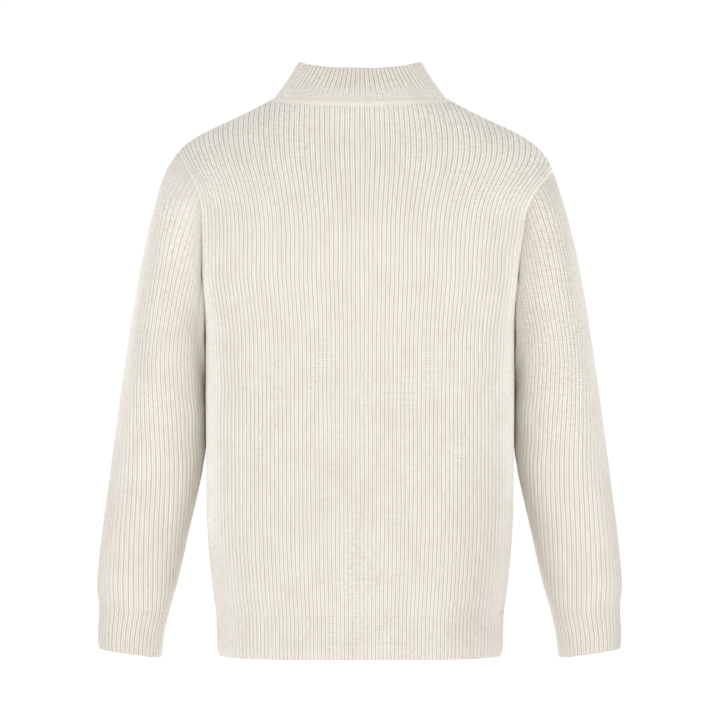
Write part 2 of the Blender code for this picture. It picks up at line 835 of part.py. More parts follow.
def collar_normal(column, share):
    step = 0.3
    left = collar_point(max(column - step, -COLLAR_RIBS), share)
    right = collar_point(min(column + step, COLLAR_RIBS), share)
    low = collar_point(column, max(share - 0.05, 0.0))
    high = collar_point(column, min(share + 0.05, 1.0))
    normal = unit(np.cross(right - left, high - low))
    return normal if normal @ (collar_point(column, share) * (1, 1, 0)) > 0 else -normal


def collar_mitre(column):
    """Along the joint of band and collar: its length keeps both walls' thickness."""
    out = neck_frame(column)[2]
    normal = collar_normal(column, 0.0)
    return (out + normal) / (1 + out @ normal)


def front_edge(moved, column, last):
    if abs(column) == last:
        moved[0] = math.copysign(PLACKET / 2, column)
    return moved


COLLAR_ROWS = (SEAM / 2 / 0.052, 0.45, 1.0)


def collar_wall(name, material, collection):
    def placed(column, row, depth):
        share = COLLAR_ROWS[row]
        inward = collar_mitre(column) if row == 0 else collar_normal(column, share)
        moved = collar_point(column, share) - inward * depth
        return front_edge(moved, column, COLLAR_RIBS)

    def crest(column, row):
        return placed(column, row, RIB_DEPTH if is_valley(column) else 0.0)

    def inner(column, row):
        return placed(column, row, WALL)

    last = COLLAR_RIBS
    top = len(COLLAR_ROWS) - 1
    borders = [((-last, row), (last, row)) for row in (0, top)]
    borders += [((c, 0), (c, top)) for c in (-last, last)]
    columns = half_steps(-last, last)
    plain = plain_columns(-last, last, 24)
    bm = rib_wall(columns, plain, range(top + 1), crest, inner, borders)
    return finish_mesh(bm, name, material, collection)


BAND_CELLS = 56
BAND_RISE = 0.0004  # the linked band stands this far above the crests
BAND_EASE = 0.0012  # its inner edge clears the straighter inside of the panels


def band_wall(name, material, collection):
    """The smooth band linked over the neckline, a bead with a soft edge."""

    def placed(column, row, depth):
        point, up, out = neck_frame(column)
        low, high = 1.5 * SEAM, BAND_WIDTH - SEAM / 2
        inward = collar_mitre(column) if row == 1 else out
        moved = point + up * (low + (high - low) * row) - inward * depth
        return front_edge(moved, column, COLLAR_RIBS)

    def crest(column, row):
        return placed(column, row, -BAND_RISE if row == 0.5 else RIB_DEPTH / 2)

    def inner(column, row):
        up = neck_frame(column)[1]
        return placed(column, row, WALL) + up * (0.0 if row else BAND_EASE)

    last = COLLAR_RIBS
    columns = plain_columns(-last, last, BAND_CELLS)
    bm = bmesh.new()
    outside = lattice(bm, columns, (0, 0.5, 1), crest, everywhere)
    inside = lattice(bm, columns, (0, 1), inner, everywhere)
    borders = [((-last, row), (last, row)) for row in (0, 1)]
    borders += [((c, 0), (c, 1)) for c in (-last, last)]
    for start, end in borders:
        lace(bm, chain(outside, start, end), chain(inside, start, end))
    return finish_mesh(bm, name, material, collection)


# ---- The zip ----


def front_line(offset):
    """Points up the front at so many ribs from the placket's edge, with outward vectors."""
    line = []
    heights = (HEM_BOTTOM + BOX_HEIGHT + SEAM, -0.650)
    for z in heights:
        x, y = rib_place(np.array([float(offset)]), np.array([z]), -1)
        point = np.array([x[0], y[0], z])
        line.append((point, body_normal(point, -1)))
    for row in range(TOP_ROW + 1):
        point = body_point(offset, row, -1)
        line.append((point, body_normal(point, -1)))
    column = COLLAR_RIBS - offset
    for share in (0.0, 0.45, SLIDER_SEAT - 0.02):
        line.append((collar_point(column, share), collar_normal(column, share)))
    return line


def strip(name, material, collection, lines, thickness):
    """An open strip through lines of points, solidified inwards."""
    bm = bmesh.new()
    across, up = len(lines) - 1, len(lines[0]) - 1
    made = bmesh.ops.create_grid(bm, x_segments=across, y_segments=up, size=1)
    for index, vert in enumerate(made["verts"]):
        vert.co = lines[index % len(lines)][index // len(lines)]
    bmesh.ops.recalc_face_normals(bm, faces=bm.faces)
    mesh = bpy.data.meshes.new(name)
    bm.to_mesh(mesh)
    bm.free()
    if mesh.polygons[0].normal.y > 0:
        mesh.flip_normals()
    mesh.materials.append(material)
    made = bpy.data.objects.new(name, mesh)
    collection.objects.link(made)
    thick = made.modifiers.new("Thickness", "SOLIDIFY")
    thick.thickness = thickness
    thick.offset = -1
    return made


def tape_lines(side):
    """Three lines of points: the tape's edge by the chain, the placket's edge, and inside."""
    edge = front_line(0.0)
    within = front_line(2.4)
    lines = []
    for source, x in ((edge, TAPE_INNER), (edge, PLACKET / 2), (within, None)):
        line = []
        for point, normal in source:
            flat = unit(normal * np.array([0.0, 1.0, 1.0]))
            moved = point - flat * TAPE_DEPTH
            moved[0] = side * (moved[0] if x is None else x)
            line.append(moved)
        lines.append(line)
    return lines if side > 0 else lines[::-1]


def chain_lines():
    line = []
    for point, normal in front_line(0.0):
        flat = unit(normal * np.array([0.0, 1.0, 1.0]))
        line.append(point - flat * CHAIN_DEPTH)
    halves = []
    for x in (-CHAIN_WIDTH / 2, CHAIN_WIDTH / 2):
        halves.append([np.array([x, p[1], p[2]]) for p in line])
    return halves


def seat():
    """The slider's place on the collar's front: its point, and its lean back from upright."""
    point = collar_point(COLLAR_RIBS, SLIDER_SEAT)
    low = collar_point(COLLAR_RIBS, SLIDER_SEAT - 0.2)
    lean = math.atan2(point[1] - low[1], point[2] - low[2])
    return (0.0, point[1], point[2]), lean


def block(name, material, collection, low, high):
    bm = bmesh.new()
    bmesh.ops.create_cube(bm, size=1)
    for vert in bm.verts:
        vert.co = [low[k] if vert.co[k] < 0 else high[k] for k in range(3)]
    return finish_mesh(bm, name, material, collection)


def cylinder(name, material, collection, radius, length, centre, sides):
    """A cylinder along X."""
    bm = bmesh.new()
    bmesh.ops.create_cone(
        bm, cap_ends=True, segments=sides, radius1=radius, radius2=radius, depth=length
    )
    for vert in bm.verts:
        x, y, z = vert.co
        vert.co = (z + centre[0], x + centre[1], y + centre[2])
    return finish_mesh(bm, name, material, collection)


def cut(target, tool, operation="DIFFERENCE"):
    tool.hide_render = True
    tool.display_type = "WIRE"
    change = target.modifiers.new(tool.name, "BOOLEAN")
    change.operation = operation
    change.object = tool


def place_at_seat(made, tools, lean):
    point, tilt = seat()
    for each in (made, *tools):
        each.location = point
        each.rotation_euler = (-tilt - lean, 0, 0)


def slider(collection, cutters, material):
    """Front and back plates joined over the chain's end, with the bail that holds the tab."""
    half = SLIDER_WIDTH / 2
    front, back = -SLIDER_PLATE, TAPE_DEPTH + TAPE_THICK + SLIDER_PLATE
    low, high = (-half, front, -SLIDER_HALF), (half, back, SLIDER_HALF)
    made = block("slider", material, collection, low, high)
    near, far = CHAIN_DEPTH - SLIDER_FREE, TAPE_DEPTH + TAPE_THICK + SEAM
    low, high = (-SLIDER_WIDTH, near, -SLIDER_WIDTH), (SLIDER_WIDTH, far, SLIDER_STEM)
    channel = block("slider_channel", material, cutters, low, high)
    axis = (0, -HINGE_OUT, 0)
    bail = cylinder("slider_bail", material, cutters, BAIL_ROUND, BAIL_THICK, axis, 20)
    eye = cylinder("slider_eye", material, cutters, BAIL_HOLE, SLIDER_WIDTH, axis, 16)
    cut(made, channel)
    cut(made, bail, "UNION")
    cut(made, eye)
    place_at_seat(made, (channel, bail, eye), 0.0)


def pull_tab(collection, cutters, material):
    """A flat tab hung by its eye on the bail, its origin on the hinge's axis."""
    half, wide = TAB_THICK / 2, TAB_WIDTH / 2
    low, high = (-wide, -half, -TAB_LENGTH), (wide, half, TAB_HEAD)
    made = block("pull_tab", material, collection, low, high)
    low, high = (-TAB_EYE, -TAB_WIDTH, -TAB_EYE_END), (TAB_EYE, TAB_WIDTH, -TAB_HEAD)
    opening = block("pull_tab_eye", material, cutters, low, high)
    cut(made, opening)
    point, tilt = seat()
    out = np.array([0.0, -math.cos(tilt), math.sin(tilt)]) * HINGE_OUT
    for each in (made, opening):
        each.location = np.array(point) + out
        each.rotation_euler = (-tilt - TAB_REST, 0, 0)


def zip_box(collection, material):
    x, y = rib_place(np.array([0.0]), np.array([HEM_BOTTOM + BOX_HEIGHT / 2]), -1)
    front, back = float(y[0]) + SEAM, float(y[0]) + TAPE_DEPTH + TAPE_THICK
    low = (-BOX_WIDTH / 2, front, HEM_BOTTOM + SEAM)
    high = (BOX_WIDTH / 2, back, HEM_BOTTOM + BOX_HEIGHT)
    made = block("zip_box", material, collection, low, high)
    soft = made.modifiers.new("Soft edges", "BEVEL")
    soft.width = BOX_SOFT
    soft.segments = 1


# ---- Materials and the whole ----


def principled(name, colour, roughness, metallic=0.0):
    material = bpy.data.materials.new(name)
    material.use_nodes = True
    shader = material.node_tree.nodes["Principled BSDF"]
    shader.inputs["Base Color"].default_value = (*colour, 1)
    shader.inputs["Roughness"].default_value = roughness
    shader.inputs["Metallic"].default_value = metallic
    return material


def clear_scene():
    for each in list(bpy.data.objects):
        bpy.data.objects.remove(each, do_unlink=True)


def collection_named(name):
    made = bpy.data.collections.new(name)
    bpy.context.scene.collection.children.link(made)
    return made


def main():
    clear_scene()
    parts = collection_named("Zip-up cardigan")
    cutters = collection_named("Cutters")
    knit = principled("Oatmeal rib knit", (0.82, 0.79, 0.71), 0.95)
    linked = principled("Oatmeal linking", (0.80, 0.77, 0.69), 0.9)
    tape = principled("Zip tape", (0.78, 0.75, 0.67), 0.8)
    metal = principled("Zip metal", (0.60, 0.60, 0.60), 0.35, 1.0)

    body_wall("back_panel", knit, parts, -BODY_RIBS, BODY_RIBS, 1)
    hem_wall("hem_back", knit, parts, -BODY_RIBS, BODY_RIBS, 1)
    for name, first, last, side in (
        ("left", 0, BODY_RIBS, 1.0),
        ("right", -BODY_RIBS, 0, -1.0),
    ):
        body_wall("front_" + name, knit, parts, first, last, -1)
        hem_wall("hem_front_" + name, knit, parts, first, last, -1)
        sleeve_wall("sleeve_" + name, knit, parts, side)
        cuff_wall("cuff_" + name, knit, parts, side)
        strip("zip_tape_" + name, tape, parts, tape_lines(side), TAPE_THICK)
    collar_wall("collar", knit, parts)
    band_wall("neck_band", linked, parts)
    strip("zip_chain", metal, parts, chain_lines(), CHAIN_THICK)
    zip_box(parts, metal)
    slider(parts, cutters, metal)
    pull_tab(parts, cutters, metal)


main()
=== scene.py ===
import math
from collections import namedtuple

import bmesh
import bpy
import numpy as np
from bpy.props import FloatProperty, FloatVectorProperty, IntProperty, PointerProperty
from mathutils import Matrix, Vector


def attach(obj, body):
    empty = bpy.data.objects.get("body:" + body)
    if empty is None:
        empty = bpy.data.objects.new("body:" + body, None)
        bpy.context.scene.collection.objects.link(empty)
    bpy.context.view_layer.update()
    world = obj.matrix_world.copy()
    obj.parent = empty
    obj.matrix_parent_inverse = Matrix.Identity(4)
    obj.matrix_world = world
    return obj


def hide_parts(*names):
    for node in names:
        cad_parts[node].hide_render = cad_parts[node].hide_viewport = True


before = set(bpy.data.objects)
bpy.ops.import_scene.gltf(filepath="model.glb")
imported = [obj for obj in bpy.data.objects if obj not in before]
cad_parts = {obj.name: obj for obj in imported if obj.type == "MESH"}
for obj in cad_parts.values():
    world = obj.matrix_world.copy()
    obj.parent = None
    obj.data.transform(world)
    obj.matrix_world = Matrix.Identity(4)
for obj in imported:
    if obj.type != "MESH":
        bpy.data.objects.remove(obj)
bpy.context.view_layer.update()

bl_info = {
    "name": "Rib Knit Zip Cardigan",
    "version": (1, 0, 0),
    "blender": (4, 5, 0),
    "location": "3D View > Sidebar > Cardigan",
    "description": "Knits a zip-up cardigan piece by piece over its solids, with its stage",
    "category": "Object",
}

# Metres, +Z up. The front faces -Y and the wearer's left is +X.
# Rib lines are counted from the middle: whole numbers are grooves, halves are crests.

# ---- Sizes shared with the solids ----

WALL = 0.0032  # from a rib's crest to the plain inside
PLACKET = 0.012  # between the two front edges, where the zip shows
HEM_BOTTOM = -0.680
HEM_TOP = -0.626
UNDERARM = -0.290
ARMHOLE_LOW = -0.215  # above this the armhole's edge runs along one rib
BODY_RIBS = 48  # from the middle to the side seam
YOKE_RIBS = 38  # from the middle to the armhole
SLEEVE_RIBS = 35  # from the outer line to the underarm seam, where it is widest
WIDEST = -0.294  # the height where a sleeve has the most ribs
CUFF_RIBS = 22
COLLAR_RIBS = 44  # from the middle of the back to the zip
LEFT, RIGHT = 1.0, -1.0
BACK, FRONT = 1.0, -1.0
SIDES = (("left", LEFT), ("right", RIGHT))

Ring = namedtuple("Ring", "height width back front power")
BODY = (
    Ring(-0.690, 0.1745, 0.106, 0.107, 3.0),
    Ring(-0.626, 0.1755, 0.107, 0.109, 3.0),
    Ring(-0.600, 0.1790, 0.110, 0.112, 2.95),
    Ring(-0.540, 0.1848, 0.112, 0.116, 2.9),
    Ring(-0.440, 0.1872, 0.113, 0.120, 2.8),
    Ring(-0.330, 0.1884, 0.116, 0.124, 2.7),
    Ring(-0.290, 0.1890, 0.118, 0.125, 2.7),
    Ring(-0.215, 0.2020, 0.120, 0.124, 2.6),
    Ring(-0.150, 0.2150, 0.117, 0.116, 2.5),
    Ring(-0.100, 0.2360, 0.105, 0.103, 2.4),
    Ring(-0.074, 0.2290, 0.096, 0.093, 2.35),
    Ring(-0.050, 0.2050, 0.085, 0.084, 2.35),
    Ring(-0.038, 0.1840, 0.080, 0.080, 2.3),
    Ring(-0.026, 0.1580, 0.076, 0.077, 2.3),
    Ring(-0.012, 0.1290, 0.071, 0.073, 2.3),
    Ring(-0.003, 0.1120, 0.067, 0.070, 2.3),
    Ring(0.002, 0.1020, 0.064, 0.067, 2.3),
)
Edge = namedtuple("Edge", "height left right")
ARMHOLE = (
    Edge(-0.215, 0.1915, 0.1915),
    Edge(-0.190, 0.1910, 0.1935),
    Edge(-0.160, 0.1908, 0.1987),
    Edge(-0.138, 0.1914, 0.2020),
    Edge(-0.118, 0.1945, 0.2110),
    Edge(-0.102, 0.2010, 0.2235),
    Edge(-0.085, 0.2117, 0.2380),
    Edge(-0.065, 0.2230, 0.2500),
)
TIP_LEFT = -0.065
TIP_RIGHT = -0.0886
Slice = namedtuple("Slice", "height inner outer depth middle ribs")
SLEEVE = (
    Slice(-0.690, 0.2428, 0.3193, 0.0305, -0.036, 22.0),
    Slice(-0.655, 0.2405, 0.3186, 0.0315, -0.034, 22.0),
    Slice(-0.626, 0.2335, 0.3172, 0.0345, -0.032, 22.0),
    Slice(-0.587, 0.2227, 0.3184, 0.0380, -0.028, 23.7),
    Slice(-0.538, 0.2117, 0.3148, 0.0420, -0.022, 25.9),
    Slice(-0.440, 0.1918, 0.3032, 0.0500, -0.012, 30.0),
    Slice(-0.392, 0.1906, 0.2965, 0.0560, -0.009, 32.0),
    Slice(-0.343, 0.1908, 0.2898, 0.0620, -0.007, 34.0),
    Slice(-0.294, 0.1908, 0.2824, 0.0655, -0.006, 35.0),
    Slice(-0.245, 0.1900, 0.2745, 0.0690, -0.004, 33.5),
    Slice(-0.172, 0.1900, 0.2605, 0.0675, -0.002, 31.0),
    Slice(-0.123, 0.1880, 0.2477, 0.0630, 0.000, 28.0),
    Slice(-0.087, 0.1855, 0.2355, 0.0510, 0.000, 22.7),
    Slice(-0.060, 0.1850, 0.2190, 0.0360, 0.000, 17.0),
)
SLEEVE_POWER = 2.3
CAP_POWER = 1.54
SEAM_START = -0.320  # below this the ribs end at the underarm seam
CAP_FADE = (0.14, 0.085)  # how far down the armhole's pull reaches: outer line, underarm
CUFF_TILT = 0.011  # the cuff lies this much higher on the outer line
CUFF_END = -0.670

Neck = namedtuple("Neck", "width back front")
NECKLINE = Neck(0.112, 0.0705, 0.090)
BAND_WIDTH = 0.007
NECK_POWER = 2.4
COLLAR_TOP = Neck(0.075, 0.042, 0.068)
COLLAR_TOP_BACK = 0.036
COLLAR_TOP_SIDE = 0.0455
COLLAR_TOP_FRONT = -0.030
COLLAR_HOLLOW = 0.0015  # the collar's side curves in by this

TAPE_DEPTH = 0.0040
TAPE_THICK = 0.0008
BOX_HEIGHT = 0.0115
SLIDER_SEAT = 0.86  # share of the collar's height
HINGE_OUT = 0.0037  # from the collar's face to the tab's hinge
TAB_LENGTH = 0.026
TAB_WIDTH = 0.007
TAB_REST = math.radians(6.0)  # how far the tab hangs out from the collar's slope

# ---- Sizes of the finish ----

PARTS_OF_RIB = 6
RIB_SHAPE = (1.0, 0.24, 0.0, 0.10, 0.0, 0.24, 1.0)  # share of the groove's depth, by sixths
INNER_GROOVE = 0.0008  # the ribs show on the inside too, less deep
INNER_SPREAD = 0.17  # half width of an inner groove, in ribs
SEAM_DIP = 0.0007
SEAM_REACH = 0.0022
SEAM_CALM = 0.6  # share of the ribs' depth that a seam takes away
SEWN_AWAY = 0.0018  # a sewn seam's groove lies this far from its edge
SEWN_REACH = 0.0012
RIBS_RETURN = 0.0030  # from a sewn edge to full ribs
RIBS_RISE = 0.026  # the same above the collar's linked band
BAND_DIP = 0.0003  # where hem and cuffs begin
EDGE_DRAW = 0.0022  # the hem draws in at its free edge
EDGE_REACH = 0.0070
CUFF_DRAW = 0.6  # the cuffs draw in by this share of it
ZIP_EDGE = 0.6  # share of a full rounding beside the zip
YOKE_PITCH = 0.0053  # one rib across the yoke
SLEEVE_PITCH = 0.005  # one rib round the sleeve
HEM_LIFT = 0.0035  # the knit hem pulls itself up a little over the solid's
CUFF_DROP = 0.0018
CUFF_FLARE = {LEFT: 0.0032, RIGHT: 0.0022}
# Height, and how far the sleeve's inner side leans in to lie against the body.
TUCK = (
    (-0.475, 0.0), (-0.448, 0.0012), (-0.420, 0.0037), (-0.390, 0.0027),
    (-0.350, 0.0022), (-0.310, 0.0016), (-0.275, 0.0),
)
SLEEVE_MIDDLE = (0.25, -0.01)
CUFF_MIDDLE = (0.2795, -0.034)
BAND_LAP = (-0.0014, 0.0008)  # below the body's top edge, and above the collar's foot
ARC_STEPS = 401
TUBE_STEPS = 161
AT_ONCE = 8000
NUDGE = 1e-4
NECKLINE_SEARCH = -0.150  # below every point of the neckline
SIDE_PACKING = 0.5  # how much the ribs' spacing counts the body's turn at the sides
YOKE_SPREAD = 0.16  # the ribs' wider spacing across the yoke
YOKE_FAN = (-0.17, -0.06)
EDGE_POWER = 2.5  # how closely the outer ribs of the yoke follow the armhole
LEAN_REACH = 0.030
WAVES = (0.19, 0.083, 0.037)  # lengths of the ribs' wanders
BODY_WANDER = 0.00035
SLEEVE_WANDER = 0.0003
WANDER_FADE = 0.03  # ribs wander less this near to a seam
STEADY_RIBS = 3  # and so many ribs from a side
SHOULDER_CALM = 0.5  # share of the ribs' depth lost at the shoulder seam
SHOULDER_REACH = 0.022
CAP_CALM_REACH = 0.045
TURN_REACH = 0.0045

# Where a change sets in, and how far on it is complete. DOWN is in metres below the shoulder
# point, SIDE in ribs from the middle. OUTER and INNER are in shares round the sleeve.
Ramp = namedtuple("Ramp", "start reach")
LIFTED = Ramp(0.44, 0.16)
# SIDE to HEM_DOWN place the body's painted light and shade; SIDE and SOFT also place its weaker
# painted groove shade.
SIDE = Ramp(33, 6)
SIDE_DOWN = Ramp(0.45, 0.12)
LEFT_SIDE = Ramp(25, 12)
LEFT_DOWN = Ramp(0.50, 0.08)
RIGHT_SIDE = Ramp(18, 20)
RIGHT_DOWN = Ramp(0.36, 0.28)
HEM_DOWN = Ramp(0.60, 0.05)
SOFT_SIDE = Ramp(28, 7)
SOFT_DOWN = Ramp(0.48, 0.12)
BESIDE_ARM = Ramp(35.5, 2.5)
YOKE_LOOKS = Ramp(ARMHOLE_LOW, 0.06)  # by height
OUTER_SMOOTH = Ramp(0.13, 0.24)
# Where the sleeves' painted shade along the outer line and painted light beside the body lie.
OUTER_SHADED = Ramp(0.10, 0.28)
OUTER_DOWN = Ramp(0.27, 0.28)
INNER_SMOOTH = Ramp(0.86, 0.12)
INNER_LIT = Ramp(0.80, 0.15)
SLEEVE_DOWN = Ramp(0.40, 0.15)
CAP_REACH = 0.07
FLARE_DOWN = Ramp(0.45, 0.15)
FLARE_OUT = Ramp(0.27, 0.03)  # in metres from the middle, as the next
TUCK_OUT = Ramp(0.188, 0.022)
DROP_DOWN = Ramp(0.630, 0.04)

# How much the painted groove shade, and the painted light and shade on the yarn's colour, change
# there.
SMOOTHER = 0.65
ARM_CONTRAST = 0.45
# Painted light at the body's sides up high; painted shade at the sides low down, at the lower left
# and right and along the hem.
SIDE_PAINTED_LIGHT = 0.018
SIDE_PAINTED_SHADE = 0.038
LEFT_PAINTED_SHADE = 0.165
RIGHT_PAINTED_SHADE = 0.235
HEM_PAINTED_SHADE = 0.012
OUTER_SMOOTHER = 0.58
BEHIND_SMOOTHER = 0.12  # more behind the outer line and less in front, over so many ribs:
BEHIND_RIBS = 6
# Painted shade along the sleeves' outer line, the sleeves' painted level, painted shade low down,
# painted light beside the body, painted shade at the shoulder.
OUTER_PAINTED_SHADE = {LEFT: (0.025, 0.15), RIGHT: (0.11, 0.11)}  # at the top, and more low down
SLEEVE_PAINTED_LEVEL = 0.97
SLEEVE_PAINTED_SHADE = 0.03
INNER_PAINTED_LIGHT = 0.08
CAP_SMOOTHER = {LEFT: 0.6, RIGHT: 0.0}
CAP_PAINTED_SHADE = {LEFT: 0.135, RIGHT: 0.085}
CUFF_CONTRAST = 1.10
# The cuffs' painted level, and painted shade toward their free end.
CUFF_PAINTED_LEVEL = 0.935
CUFF_PAINTED_SHADE = 0.030

# The zip. The tape's places are across it from the middle, its cord the swollen inner edge.
TAPE_ACROSS = (0.0004, 0.0013, 0.0022, 0.0031, 0.0060, 0.0090, 0.0120)
TAPE_SWELL = (0.0, -0.0005, -0.0005, 0.0, 0.0, 0.0, 0.0)
TOOTH_DEPTH = 0.0022
TOOTH_SHANK = (0.0024, 0.0024, 0.0011)
TOOTH_HEAD = (0.0014, 0.0020, 0.0015)
TOOTH_SOFT = 0.00022
SHANK_OUT = 0.0017
HEAD_OUT = 0.0002
PLATE_TOP = 0.0040  # half widths of the slider's plates
PLATE_BOTTOM = 0.0031
PLATE_HEIGHT = 0.0098
BAIL_RING = 0.00215
BAIL_WIRE = 0.00065
BAIL_SIDES = 10
TAB_THICK = 0.0013

LIGHT_SIZE = 1.6


# ---- Settings ----


class CardiganSettings(bpy.types.PropertyGroup):
    """Sizes and colours of the knit and the zip."""

    groove: FloatProperty(
        name="Groove depth", description="From a rib's crest to the groove beside it",
        default=0.0012, unit="LENGTH",
    )
    course: FloatProperty(
        name="Course height", description="Height of one row of stitches",
        default=0.0027, unit="LENGTH",
    )
    crease: FloatProperty(
        name="Creases", description="Strength of the soft creases, 1 as photographed",
        default=1.0,
    )
    yarn: FloatVectorProperty(
        name="Yarn", description="Main colour of the yarn", subtype="COLOR",
        default=(0.945, 0.922, 0.860), min=0.0, max=1.0,
    )
    fleck: FloatVectorProperty(
        name="Fleck", description="Colour of the darker fibres spun into the yarn",
        subtype="COLOR", default=(0.58, 0.50, 0.385), min=0.0, max=1.0,
    )
    grey: FloatVectorProperty(
        name="Grey fleck", description="Colour of the cooler fibres spun into the yarn",
        subtype="COLOR", default=(0.60, 0.60, 0.575), min=0.0, max=1.0,
    )
    shade: FloatVectorProperty(
        name="Groove shade", description="Colour between the ribs, where the yarn shades itself",
        subtype="COLOR", default=(0.36, 0.29, 0.195), min=0.0, max=1.0,
    )
    tape: FloatVectorProperty(
        name="Zip tape", description="Colour of the woven zip tape", subtype="COLOR",
        default=(0.74, 0.69, 0.58), min=0.0, max=1.0,
    )
    metal: FloatVectorProperty(
        name="Zip metal", description="Colour of the teeth, slider and pull tab",
        subtype="COLOR", default=(0.62, 0.61, 0.58), min=0.0, max=1.0,
    )
    teeth: FloatProperty(
        name="Tooth pitch", description="Distance between two teeth on one side of the zip",
        default=0.0025, unit="LENGTH",
    )
    seed: IntProperty(name="Seed", description="Start of the small unevenness", default=7)


class StageSettings(bpy.types.PropertyGroup):
    """Camera, floor and lights."""

    distance: FloatProperty(
        name="Camera distance", description="From the garment's middle to the camera",
        default=5.0, unit="LENGTH",
    )
    eye: FloatProperty(
        name="Camera height", description="Height that the camera looks level at",
        default=-0.318, unit="LENGTH",
    )
    lens: FloatProperty(
        name="Focal length", description="The camera's lens, in millimetres", default=205.0,
    )
    floor: FloatProperty(
        name="Floor height", description="The garment hangs this far above the floor",
        default=-1.45, unit="LENGTH",
    )
    key: FloatProperty(name="Front light", description="Power in watts", default=43.0)
    sky: FloatProperty(
        name="Sky", description="Strength of the white surroundings overhead", default=0.55,
    )


# ---- Curves ----


def smooth(table, at):
    """The columns of a table at these heights, on smooth curves through its rows."""
    rows = np.array(sorted(table), float)
    x, y = rows[:, 0], rows[:, 1:]
    slope = np.gradient(y, x, axis=0)
    at = np.asarray(at, float)
    i = np.clip(np.searchsorted(x, at) - 1, 0, len(x) - 2)
    span = x[i + 1] - x[i]
    t = ((at - x[i]) / span)[..., None]
    span = span[..., None]
    into, out = t * (1 - t) ** 2, t * t * (t - 1)
    rise = t * t * (3 - 2 * t)
    return y[i] + (y[i + 1] - y[i]) * rise + span * (into * slope[i] + out * slope[i + 1])


def arc(width, depth, power, turn):
    """Superellipse points at these turns from the depth axis, and the length along them."""
    s, c = np.sin(turn), np.cos(turn)
    x = width * np.abs(s) ** (2 / power) * np.sign(s)
    y = depth * np.abs(c) ** (2 / power) * np.sign(c)
    step = np.hypot(np.diff(x, axis=-1), np.diff(y, axis=-1))
    start = np.zeros(step.shape[:-1] + (1,))
    return x, y, np.concatenate([start, np.cumsum(step, axis=-1)], axis=-1)


def unit(v):
    """Vectors brought to length 1."""
    return v / np.maximum(np.linalg.norm(v, axis=-1, keepdims=True), 1e-12)


def blend(t):
    """1 up to 0, 0 from 1 on, smooth between."""
    t = np.clip(t, 0, 1)
    return (1 - t) ** 2 * (1 + 2 * t)


def fallen(value, ramp):
    """1 before a ramp, 0 past it."""
    return blend((value - ramp.start) / ramp.reach)


def grown(value, ramp):
    """0 before a ramp, 1 past it."""
    return 1 - fallen(value, ramp)


def near(distance, reach):
    """1 at no distance, and soon nothing past the reach."""
    return np.exp(-((distance / reach) ** 2))


def fine(first, last):
    """Rib lines from first to last, with several steps in each rib."""
    return np.arange(first * PARTS_OF_RIB, last * PARTS_OF_RIB + 1) / PARTS_OF_RIB


def along_rows(points):
    """The length of every column from its first row."""
    step = np.linalg.norm(np.diff(points, axis=0), axis=-1)
    return np.concatenate([np.zeros((1, points.shape[1])), np.cumsum(step, axis=0)])


def line_length(line):
    """The length of a line of points up to each of them."""
    return along_rows(line[:, None])[:, 0]


def read_line(at, marks, line):
    """A line's points at places between its marks."""
    return np.stack([np.interp(at, marks, values) for values in line.T], axis=-1)


def eased(line, times, weight=2):
    """A line with its bends evened out and its ends kept."""
    for _ in range(times):
        line[1:-1] = (line[:-2] + weight * line[1:-1] + line[2:]) / (weight + 2)
    return line


def through(table, at, values):
    """Each column of values read along its own rising column of table."""
    return np.stack([np.interp(at[:, j], table[:, j], values[:, j]) for j in range(at.shape[1])], 1)


# ---- The body's form ----


def armhole_x(side, height):
    """How far out the armhole's edge lies, reaching the body's full width at the tip."""
    tip = TIP_LEFT if side > 0 else TIP_RIGHT
    which = 0 if side > 0 else 1
    width = smooth(BODY, tip)[0]
    end = smooth(ARMHOLE, tip)[which]
    close = np.clip((height - ARMHOLE_LOW) / (tip - ARMHOLE_LOW), 0, 1)
    return smooth(ARMHOLE, height)[..., which] + (width - end) * close**3


def ring_at(height, face):
    """The body's half width, depth and power at these heights."""
    ring = smooth(BODY, height)
    return ring[..., 0], ring[..., 1] if face > 0 else ring[..., 2], ring[..., 3]


def depth_at(x, height, face):
    """Where the body's back or front lies, so far out and so high."""
    width, depth, power = ring_at(height, face)
    share = np.clip(np.abs(x) / width, 0, 1)
    return face * depth * (1 - share**power) ** (1 / power)


def body_normal(points, face):
    """The outward way at points on the body's form."""
    x, y, z = points[..., 0], points[..., 1], points[..., 2]

    def beyond(height):
        width, depth, power = ring_at(height, face)
        return (np.abs(x) / width) ** power + (np.abs(y) / depth) ** power

    width, depth, power = ring_at(z, face)
    rise = (beyond(z + NUDGE) - beyond(z - NUDGE)) / (2 * NUDGE)
    nx = power * (np.abs(x) / width) ** (power - 1) / width * np.sign(x)
    ny = power * (np.abs(y) / depth) ** (power - 1) / depth * face
    return unit(np.stack([nx, ny, rise], axis=-1))


def shoulder_height(x):
    """Height of the shoulder seam, so far out."""
    z = np.linspace(TIP_RIGHT, 0.0, 400)
    return np.interp(-np.abs(x), -smooth(BODY, z)[..., 0], z)


def neckline_height(x, face):
    """Height where the neck's upright tube cuts the body, found by halving."""
    low = np.full(np.shape(x), NECKLINE_SEARCH)
    high = shoulder_height(x)
    share = np.clip(np.abs(x) / NECKLINE.width, 0, 1)
    depth = NECKLINE.back if face > 0 else NECKLINE.front
    goal = depth * (1 - share**NECK_POWER) ** (1 / NECK_POWER)
    for _ in range(30):
        middle = (low + high) / 2
        outside = np.abs(depth_at(x, middle, face)) > goal
        low, high = np.where(outside, middle, low), np.where(outside, high, middle)
    return (low + high) / 2


def armhole_foot(number):
    """Height of the armhole's rounded foot, by rib number."""
    share = np.clip((number - YOKE_RIBS) / (BODY_RIBS - YOKE_RIBS), 0, 1)
    return UNDERARM + (ARMHOLE_LOW - UNDERARM) * (1 - np.sqrt(1 - (1 - share) ** 2))


